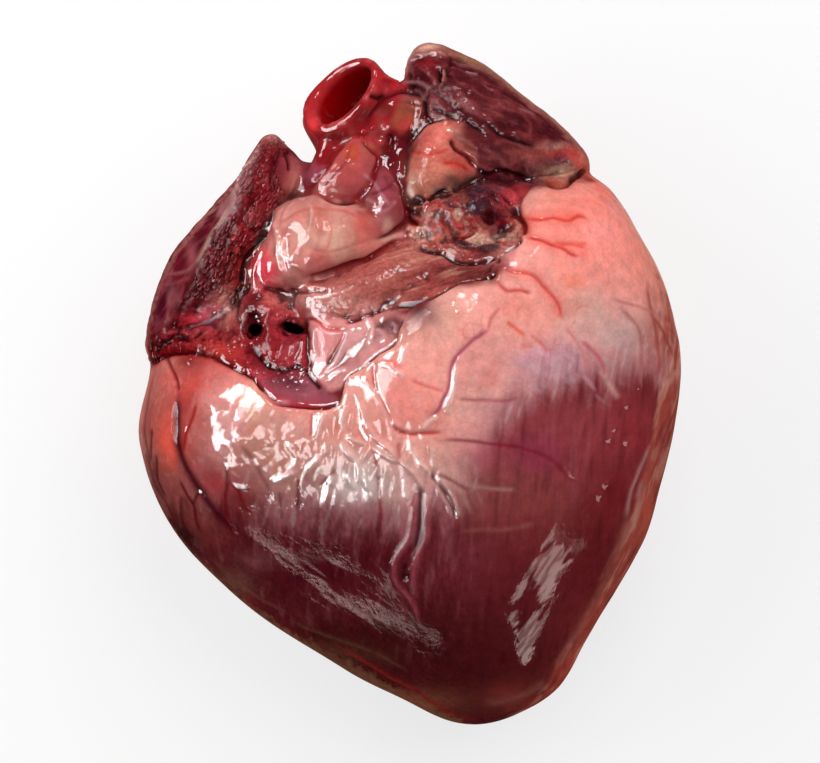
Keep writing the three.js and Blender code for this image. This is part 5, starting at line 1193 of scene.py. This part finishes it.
def wet_meat(name, bump):
    """Meat with its film of juice. `bump` is the height of its finest relief, in mm."""
    material = bpy.data.materials.new(name)
    material.use_nodes = True
    tree = material.node_tree
    tree.nodes.clear()
    place_in = add(tree, "ShaderNodeTexCoord").outputs["Object"]
    colour = add(tree, "ShaderNodeAttribute", {"attribute_name": "tint"}).outputs["Color"]
    fibre, torn, fatty, film = (
        add(tree, "ShaderNodeAttribute", {"attribute_name": mask}).outputs["Fac"]
        for mask in ("fibre", "torn", "fatty", "wet")
    )

    def lumps_of(size, detail, where=place_in):
        """A noise texture with lumps `size` mm wide."""
        settings = {"Scale": 1 / (size * MM), "Detail": detail}
        return add(tree, "ShaderNodeTexNoise", settings, Vector=where).outputs

    along_fibres = {"Scale": (1, 0.14, 1), "Rotation": (0, 0, -0.1)}
    squeezed = add(tree, "ShaderNodeMapping", along_fibres, Vector=place_in).outputs[0]
    # blotches, specks of torn tissue, and bundles of fibres, each with its real width in mm
    mottle = lumps_of(2.2, 4)["Fac"]
    speckle = lumps_of(0.6, 3)["Fac"]
    stripe = lumps_of(0.7, 4, squeezed)["Fac"]

    def brightness(source, low, high):
        """The middle range of a noise, spread from low to high."""
        return add(tree, "ShaderNodeMapRange", {1: 0.3, 2: 0.7, 3: low, 4: high}, _0=source).outputs[0]

    def times(a, b):
        """The product of two sockets."""
        return add(tree, "ShaderNodeMath", {"operation": "MULTIPLY"}, _0=a, _1=b).outputs[0]

    half_fibre = add(tree, "ShaderNodeMath", {"operation": "MULTIPLY", 1: 0.5}, _0=fibre).outputs[0]
    stripes = add(tree, "ShaderNodeMix", {2: 1.0}, _0=fibre, _3=brightness(stripe, 0.78, 1.25)).outputs[0]
    specks = add(tree, "ShaderNodeMix", {2: 1.0}, _0=torn, _3=brightness(speckle, 0.55, 1.5)).outputs[0]
    mottled_shade = times(brightness(mottle, 0.88, 1.12), brightness(speckle, 0.93, 1.08))
    shade = times(times(mottled_shade, stripes), specks)
    tinted = add(tree, "ShaderNodeVectorMath", {"operation": "SCALE"}, _0=colour, Scale=shade).outputs[0]

    # a net of fine red vessels in the fat: the edges of cells, bent by noise and shown only in patches
    bend = {"operation": "MULTIPLY_ADD", 1: (2.2 * MM,) * 3}
    bent = add(tree, "ShaderNodeVectorMath", bend, _0=lumps_of(2.5, 2)["Color"], _2=place_in).outputs[0]
    net = {"feature": "DISTANCE_TO_EDGE", "Scale": 1 / (4.5 * MM)}
    from_net = add(tree, "ShaderNodeTexVoronoi", net, Vector=bent).outputs["Distance"]
    thread = add(tree, "ShaderNodeMapRange", {1: 0.0, 2: 0.045, 3: 1.0, 4: 0.0}, _0=from_net).outputs[0]
    shown = times(times(brightness(lumps_of(7, 1)["Fac"], -0.2, 0.25), fatty), thread)
    red_thread = {"data_type": "RGBA", 7: (*linear("#b0342f"), 1)}
    veined = add(tree, "ShaderNodeMix", red_thread, _0=shown, _6=tinted).outputs[2]

    fine = add(tree, "ShaderNodeBump", {"Distance": 1.5 * bump * MM}, Height=speckle, Strength=torn)
    lumps = add(tree, "ShaderNodeBump", {"Distance": 2 * bump * MM, "Strength": 0.3}, Height=mottle)
    tree.links.new(fine.outputs[0], lumps.inputs["Normal"])
    ribs = add(tree, "ShaderNodeBump", {"Distance": bump * MM}, Height=stripe, Strength=half_fibre)
    tree.links.new(lumps.outputs[0], ribs.inputs["Normal"])
    body = add(
        tree,
        "ShaderNodeBsdfPrincipled",
        {
            "Roughness": 0.5,
            "IOR": 1.4,
            "Specular IOR Level": 0.0,
            "Coat Roughness": 0.06,
            "Coat IOR": 1.42,
            "Subsurface Weight": 0.12,
            "Subsurface Radius": (1.0, 0.25, 0.2),
            "Subsurface Scale": 1.5 * MM,
        },
        Base_Color=veined,
        Coat_Weight=film,
        Normal=ribs.outputs[0],
        Coat_Normal=ribs.outputs[0],
    )
    add(tree, "ShaderNodeOutputMaterial", Surface=body.outputs[0])
    return material


MEAT = wet_meat("raw pork muscle and fat, wet", 0.09)
print(MEAT.name, "has", len(MEAT.node_tree.nodes), "nodes")

# %% [markdown]
# The pieces
#
# A very fine mesh is easier to handle in parts. The skin is divided where nobody looks for a joint: in the
# coronary groove, and round the widest level. Each part keeps the directions of the whole skin, so that no
# seam shows.


# %% Divide the skin into pieces
MASKS = {
    # how strongly each finish shows at each point of the skin
    "fibre": muscle * (1 - 0.7 * rise(place[:, 0], 6, 16)),
    "torn": ragged * top,
    "fatty": ventricle_fat,
    "wet": wet,
    "loose": loose,
    "drops": drops,
}


def piece(name, chosen, material):
    """One part of the skin as an object, with its tint and its masks."""
    used, corners = np.unique(faces[chosen], return_inverse=True)
    mesh = bpy.data.meshes.new(name)
    mesh.vertices.add(len(used))
    mesh.vertices.foreach_set("co", (place[used] * MM).ravel())
    count = int(chosen.sum())
    mesh.loops.add(4 * count)
    mesh.loops.foreach_set("vertex_index", corners.ravel().astype(np.int32))
    mesh.polygons.add(count)
    mesh.polygons.foreach_set("loop_start", np.arange(0, 4 * count, 4, dtype=np.int32))
    mesh.update(calc_edges=True)
    mesh.validate()
    mesh.normals_split_custom_set_from_vertices(normal[used])
    colour = mesh.attributes.new("tint", "FLOAT_COLOR", "POINT")
    colour.data.foreach_set("color", np.column_stack([tint[used], np.ones(len(used))]).ravel())
    for label, values in MASKS.items():
        attribute = mesh.attributes.new(label, "FLOAT", "POINT")
        attribute.data.foreach_set("value", values[used].astype(np.float32))
    mesh.materials.append(material)
    made = bpy.data.objects.new(name, mesh)
    bpy.context.scene.collection.objects.link(made)
    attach(made, "root")
    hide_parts("heart")
    print(name, 2 * count, "triangles")
    return made


WIDEST_LEVEL = 27  # how high above the table the heart is widest
middle = place[faces].mean(1)
front = middle[:, 2] > WIDEST_LEVEL
groove = np.interp(middle[:, 0], [-55, -34, -20, -11, 3, 18, 24, 40], [4, 2, -5, 1, 15, 22, 38, 43])
ventricles = front & (middle[:, 1] < groove)
base_front = front & ~ventricles
left = middle[:, 0] < 0
left_half = middle[:, 0] < 7  # the right side of the front has more skin than the left
low = middle[:, 1] < -5
piece("ventricles_front_left", ventricles & left_half, MEAT)
piece("ventricles_front_right", ventricles & ~left_half, MEAT)
right_auricle = piece("right_auricle_and_trunk", base_front & (middle[:, 0] < -11), MEAT)
left_auricle = piece("left_auricle_and_vessels", base_front & (middle[:, 0] >= -11), MEAT)
piece("back_upper_left", ~front & left & ~low, MEAT)
piece("back_lower_left", ~front & left & low, MEAT)
piece("back_upper_right", ~front & ~left & ~low, MEAT)
piece("back_lower_right", ~front & ~left & low, MEAT)

# %% [markdown]
# Torn fibres and drops
#
# A cut through a muscle leaves loose fibres standing on the face, and juice gathers on it in drops. Both
# are the same idea: a small shape repeated over a surface. Geometry Nodes scatters it as thickly as an
# attribute says, stands it on the skin and turns it along the grain. Each copy takes over the tint of the
# skin below it.


# %% Scatter small shapes over the skin
def times_in(tree, *factors):
    """The product of several numbers or sockets."""
    product = factors[0]
    for factor in factors[1:]:
        node = add(tree, "ShaderNodeMath", {"operation": "MULTIPLY"}, _0=product)
        if isinstance(factor, float):
            node.inputs[1].default_value = factor
        else:
            tree.links.new(factor, node.inputs[1])
        product = node.outputs[0]
    return product


def shred_shape(tree, sizes):
    """One shred of torn muscle: a short low arch that tapers to both ends."""
    half = times_in(tree, sizes["Length"], 0.5)
    start = add(tree, "ShaderNodeCombineXYZ", _0=times_in(tree, half, -1.0)).outputs[0]
    crest = add(tree, "ShaderNodeCombineXYZ", _2=times_in(tree, sizes["Length"], 0.2)).outputs[0]
    end = add(tree, "ShaderNodeCombineXYZ", _0=half).outputs[0]
    arch = add(
        tree, "GeometryNodeCurveQuadraticBezier", {"Resolution": 7}, Start=start, Middle=crest, End=end
    ).outputs[0]
    share = add(tree, "GeometryNodeSplineParameter").outputs["Factor"]
    rest = add(tree, "ShaderNodeMath", {"operation": "SUBTRACT", 0: 1.0}, _1=share).outputs[0]
    swelling = {"operation": "MULTIPLY_ADD", 1: 3.4, 2: 0.15}  # thin at both ends
    taper = add(tree, "ShaderNodeMath", swelling, _0=times_in(tree, share, rest)).outputs[0]
    ring = add(
        tree, "GeometryNodeCurvePrimitiveCircle", {"Resolution": 5}, Radius=sizes["Thickness"]
    ).outputs[0]
    return add(
        tree, "GeometryNodeCurveToMesh", {"Fill Caps": True}, Curve=arch, Profile_Curve=ring, Scale=taper
    ).outputs[0]


def drop_shape(tree, sizes):
    """One drop of juice: a small ball, pressed flat."""
    ball = add(tree, "GeometryNodeMeshIcoSphere", {"Subdivisions": 3}, Radius=sizes["Thickness"]).outputs[0]
    return add(tree, "GeometryNodeTransform", {"Scale": (1, 1, 0.45)}, Geometry=ball).outputs[0]


def stored(tree, kind, name, geometry, value):
    """The geometry with a value stored on it under a name."""
    settings = {"data_type": kind, "Name": name}
    return add(tree, "GeometryNodeStoreNamedAttribute", settings, Geometry=geometry, Value=value).outputs[0]


def aligned(tree, settings, **links):
    """A rotation that points an axis along a vector."""
    return add(tree, "FunctionNodeAlignRotationToVector", settings, **links).outputs[0]


def scattered(name, host, mask, shape, sizes):
    """A new object with a shape repeated over a piece of skin. The attribute `mask` says how thickly."""
    tree = bpy.data.node_groups.new(name, "GeometryNodeTree")
    tree.interface.new_socket("Geometry", in_out="INPUT", socket_type="NodeSocketGeometry")
    tree.interface.new_socket("Geometry", in_out="OUTPUT", socket_type="NodeSocketGeometry")
    for label in sizes:
        kind = "NodeSocketInt" if label == "Seed" else "NodeSocketFloat"
        tree.interface.new_socket(label, in_out="INPUT", socket_type=kind)
    given = add(tree, "NodeGroupInput").outputs

    skin, seed = given["Geometry"], given["Seed"]
    share = add(tree, "GeometryNodeInputNamedAttribute", {"Name": mask}).outputs[0]
    density = times_in(tree, share, given["Per square metre"])
    points = add(tree, "GeometryNodeDistributePointsOnFaces", Mesh=skin, Density=density, Seed=seed).outputs
    tint_below = {"data_type": "FLOAT_COLOR", "Name": "tint"}
    colour = add(tree, "GeometryNodeInputNamedAttribute", tint_below).outputs[0]
    paler = add(tree, "FunctionNodeRandomValue", {2: 0.75, 3: 1.35}, Seed=seed).outputs[1]
    varied = add(tree, "ShaderNodeVectorMath", {"operation": "SCALE"}, _0=colour, Scale=paler).outputs[0]
    tinted = stored(tree, "FLOAT_COLOR", "tint", points[0], varied)
    wetted = stored(tree, "FLOAT", "wet", tinted, given["Wetness"])
    standing = aligned(tree, {"axis": "Z"}, Vector=points["Normal"])
    roughly_along = {"data_type": "FLOAT_VECTOR", 0: (0.1, 0.6, -0.15), 1: (0.75, 1, 0.15)}
    lie = add(tree, "FunctionNodeRandomValue", roughly_along, Seed=seed).outputs[0]
    turned = aligned(tree, {"axis": "X", "pivot_axis": "Z"}, Rotation=standing, Vector=lie)
    larger = add(tree, "FunctionNodeRandomValue", {2: 0.5, 3: 1.3}, Seed=seed).outputs[1]
    one = shape(tree, given)
    copies = add(
        tree, "GeometryNodeInstanceOnPoints", Points=wetted, Instance=one, Rotation=turned, Scale=larger
    ).outputs[0]
    real = add(tree, "GeometryNodeRealizeInstances", Geometry=copies).outputs[0]
    smooth = add(tree, "GeometryNodeSetShadeSmooth", Geometry=real).outputs[0]
    coated = add(tree, "GeometryNodeSetMaterial", {"Material": MEAT}, Geometry=smooth).outputs[0]
    add(tree, "NodeGroupOutput", Geometry=coated)

    made = bpy.data.objects.new(name, host.data.copy())
    bpy.context.scene.collection.objects.link(made)
    modifier = made.modifiers.new(name, "NODES")
    modifier.node_group = tree
    for item in tree.interface.items_tree:
        if item.name in sizes:
            modifier[item.identifier] = sizes[item.name]
    ready = bpy.context.evaluated_depsgraph_get()
    plain_mesh = bpy.data.meshes.new_from_object(made.evaluated_get(ready))
    made.modifiers.remove(modifier)
    made.data = plain_mesh
    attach(made, "root")
    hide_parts("heart")
    print(name, len(plain_mesh.vertices), "points")
    return made


PER_MM2 = 1e6  # in a square metre
SHREDS = {
    "Per square metre": 0.9 * PER_MM2,
    "Length": 1.5 * MM,
    "Thickness": 0.33 * MM,
    "Wetness": 0.3,
    "Seed": 4,
}
DROPS = {"Per square metre": 0.45 * PER_MM2, "Thickness": 0.5 * MM, "Wetness": 1.0, "Seed": 9}
scattered("loose_fibres_right_auricle", right_auricle, "loose", shred_shape, SHREDS)
scattered("drops_of_juice_right", right_auricle, "drops", drop_shape, DROPS)
scattered("drops_of_juice_left", left_auricle, "drops", drop_shape, DROPS)

# %% [markdown]
# Floor, light and camera
#
# The heart lies on a plain pale surface, photographed from straight above. Two kinds of light share the
# work. Fills light the body of the meat, and its film of juice doesn't mirror them, so that dark meat stays
# deep red. Windows are only mirrored: a tall one and some smaller ones at the left and behind give the
# broad white glints, and two low reddish ones give the faint streaks on the muscle below.


# %% Stage
def plain(name, colour, glow):
    """The matte pale surface that everything lies on."""
    material = bpy.data.materials.new(name)
    material.use_nodes = True
    shader = material.node_tree.nodes["Principled BSDF"]
    shader.inputs["Base Color"].default_value = (*linear(colour), 1)
    shader.inputs["Roughness"].default_value = 0.9
    shader.inputs["Emission Color"].default_value = (1, 1, 1, 1)
    shader.inputs["Emission Strength"].default_value = glow
    return material


SIDE = 3.0  # from the middle of the floor to its edge, in metres
corners = [(-SIDE, -SIDE, 0), (SIDE, -SIDE, 0), (SIDE, SIDE, 0), (-SIDE, SIDE, 0)]
floor_mesh = bpy.data.meshes.new("floor")
floor_mesh.from_pydata(corners, [], [(0, 1, 2, 3)])
floor_mesh.materials.append(plain("pale table", "#808080", 0.7))
floor = bpy.data.objects.new("floor", floor_mesh)
bpy.context.scene.collection.objects.link(floor)
floor.visible_glossy = False  # a mirrored white floor would put a grey rim round the dark meat


def direction(vector):
    """The turn that points a light or a camera along a vector."""
    return Vector(vector).to_track_quat("-Z", "Y")


LIGHT_DISTANCE = 650  # from each light to the point that it is aimed at


def soft_light(name, heading, elevation, size_mm, watts, mirrored, colour=(1, 1, 1)):
    """A soft rectangular light. A mirrored one shows only as a glint, and the others light only the body."""
    aim = np.array([0, 0, 50])  # near the top of the heart
    turn, height = np.radians([heading, elevation])
    towards = np.array([np.cos(height) * np.cos(turn), np.cos(height) * np.sin(turn), np.sin(height)])
    data = bpy.data.lights.new(name, "AREA")
    data.shape = "RECTANGLE"
    data.size, data.size_y = (side * MM for side in size_mm)
    data.energy = watts
    data.color = colour
    lamp = bpy.data.objects.new(name, data)
    bpy.context.scene.collection.objects.link(lamp)
    lamp.location = (aim + LIGHT_DISTANCE * towards) * MM
    lamp.rotation_euler = direction(-towards).to_euler()
    lamp.visible_glossy = mirrored
    lamp.visible_diffuse = not mirrored
    return lamp


# two fills
soft_light("fill", 55, 52, (600, 600), 4.3, mirrored=False)
soft_light("left fill", 155, 40, (400, 400), 1.5, mirrored=False)
# broad white glints on the auricles, the trunk and the left lobe
soft_light("tall window", 192, 23, (560, 340), 15, mirrored=True)
soft_light("upper window", 143, 36, (220, 300), 5.2, mirrored=True)
soft_light("back window", 95, 42, (90, 170), 1.2, mirrored=True)
soft_light("high window", 168, 44, (330, 260), 3.4, mirrored=True, colour=(0.98, 0.95, 1))
# pleats and folds of the fat in the middle, and the left lobe's lower edge
soft_light("side window", -140, 33, (190, 170), 1.3, mirrored=True)
soft_light("ridge window", -126, 55, (200, 200), 1.7, mirrored=True, colour=(1, 0.9, 0.9))
soft_light("lobe window", -143, 16, (140, 100), 0.8, mirrored=True)
# faint streaks on the muscle, at the lower left and the lower right
soft_light("low strip", -119, 6, (280, 40), 0.22, mirrored=True, colour=(1, 0.72, 0.68))
soft_light("low window", -47, 8, (400, 340), 2.4, mirrored=True, colour=(1, 0.75, 0.7))

world = bpy.data.worlds.new("studio")
world.use_nodes = True
world.node_tree.nodes["Background"].inputs["Color"].default_value = (1, 1, 1, 1)
world.node_tree.nodes["Background"].inputs["Strength"].default_value = 0.2
world.cycles_visibility.glossy = False
bpy.context.scene.world = world

VIEWED_LEVEL = 30  # close to the heart's widest level
CAMERA_HEIGHT = 1000  # above that level
VIEW_WIDTH = 164  # what the picture shows, at that level
SENSOR_WIDTH = 36  # a usual one; the lens below follows from it
camera_data = bpy.data.cameras.new("camera")
camera_data.sensor_width = SENSOR_WIDTH
camera_data.lens = SENSOR_WIDTH * CAMERA_HEIGHT / VIEW_WIDTH
camera = bpy.data.objects.new("camera", camera_data)
camera.location = (-0.1 * MM, 0, (CAMERA_HEIGHT + VIEWED_LEVEL) * MM)
bpy.context.scene.collection.objects.link(camera)
bpy.context.scene.camera = camera
bpy.context.scene.view_settings.view_transform = "Standard"
print(len(bpy.data.lights), "lights, and a view", VIEW_WIDTH, "mm wide")
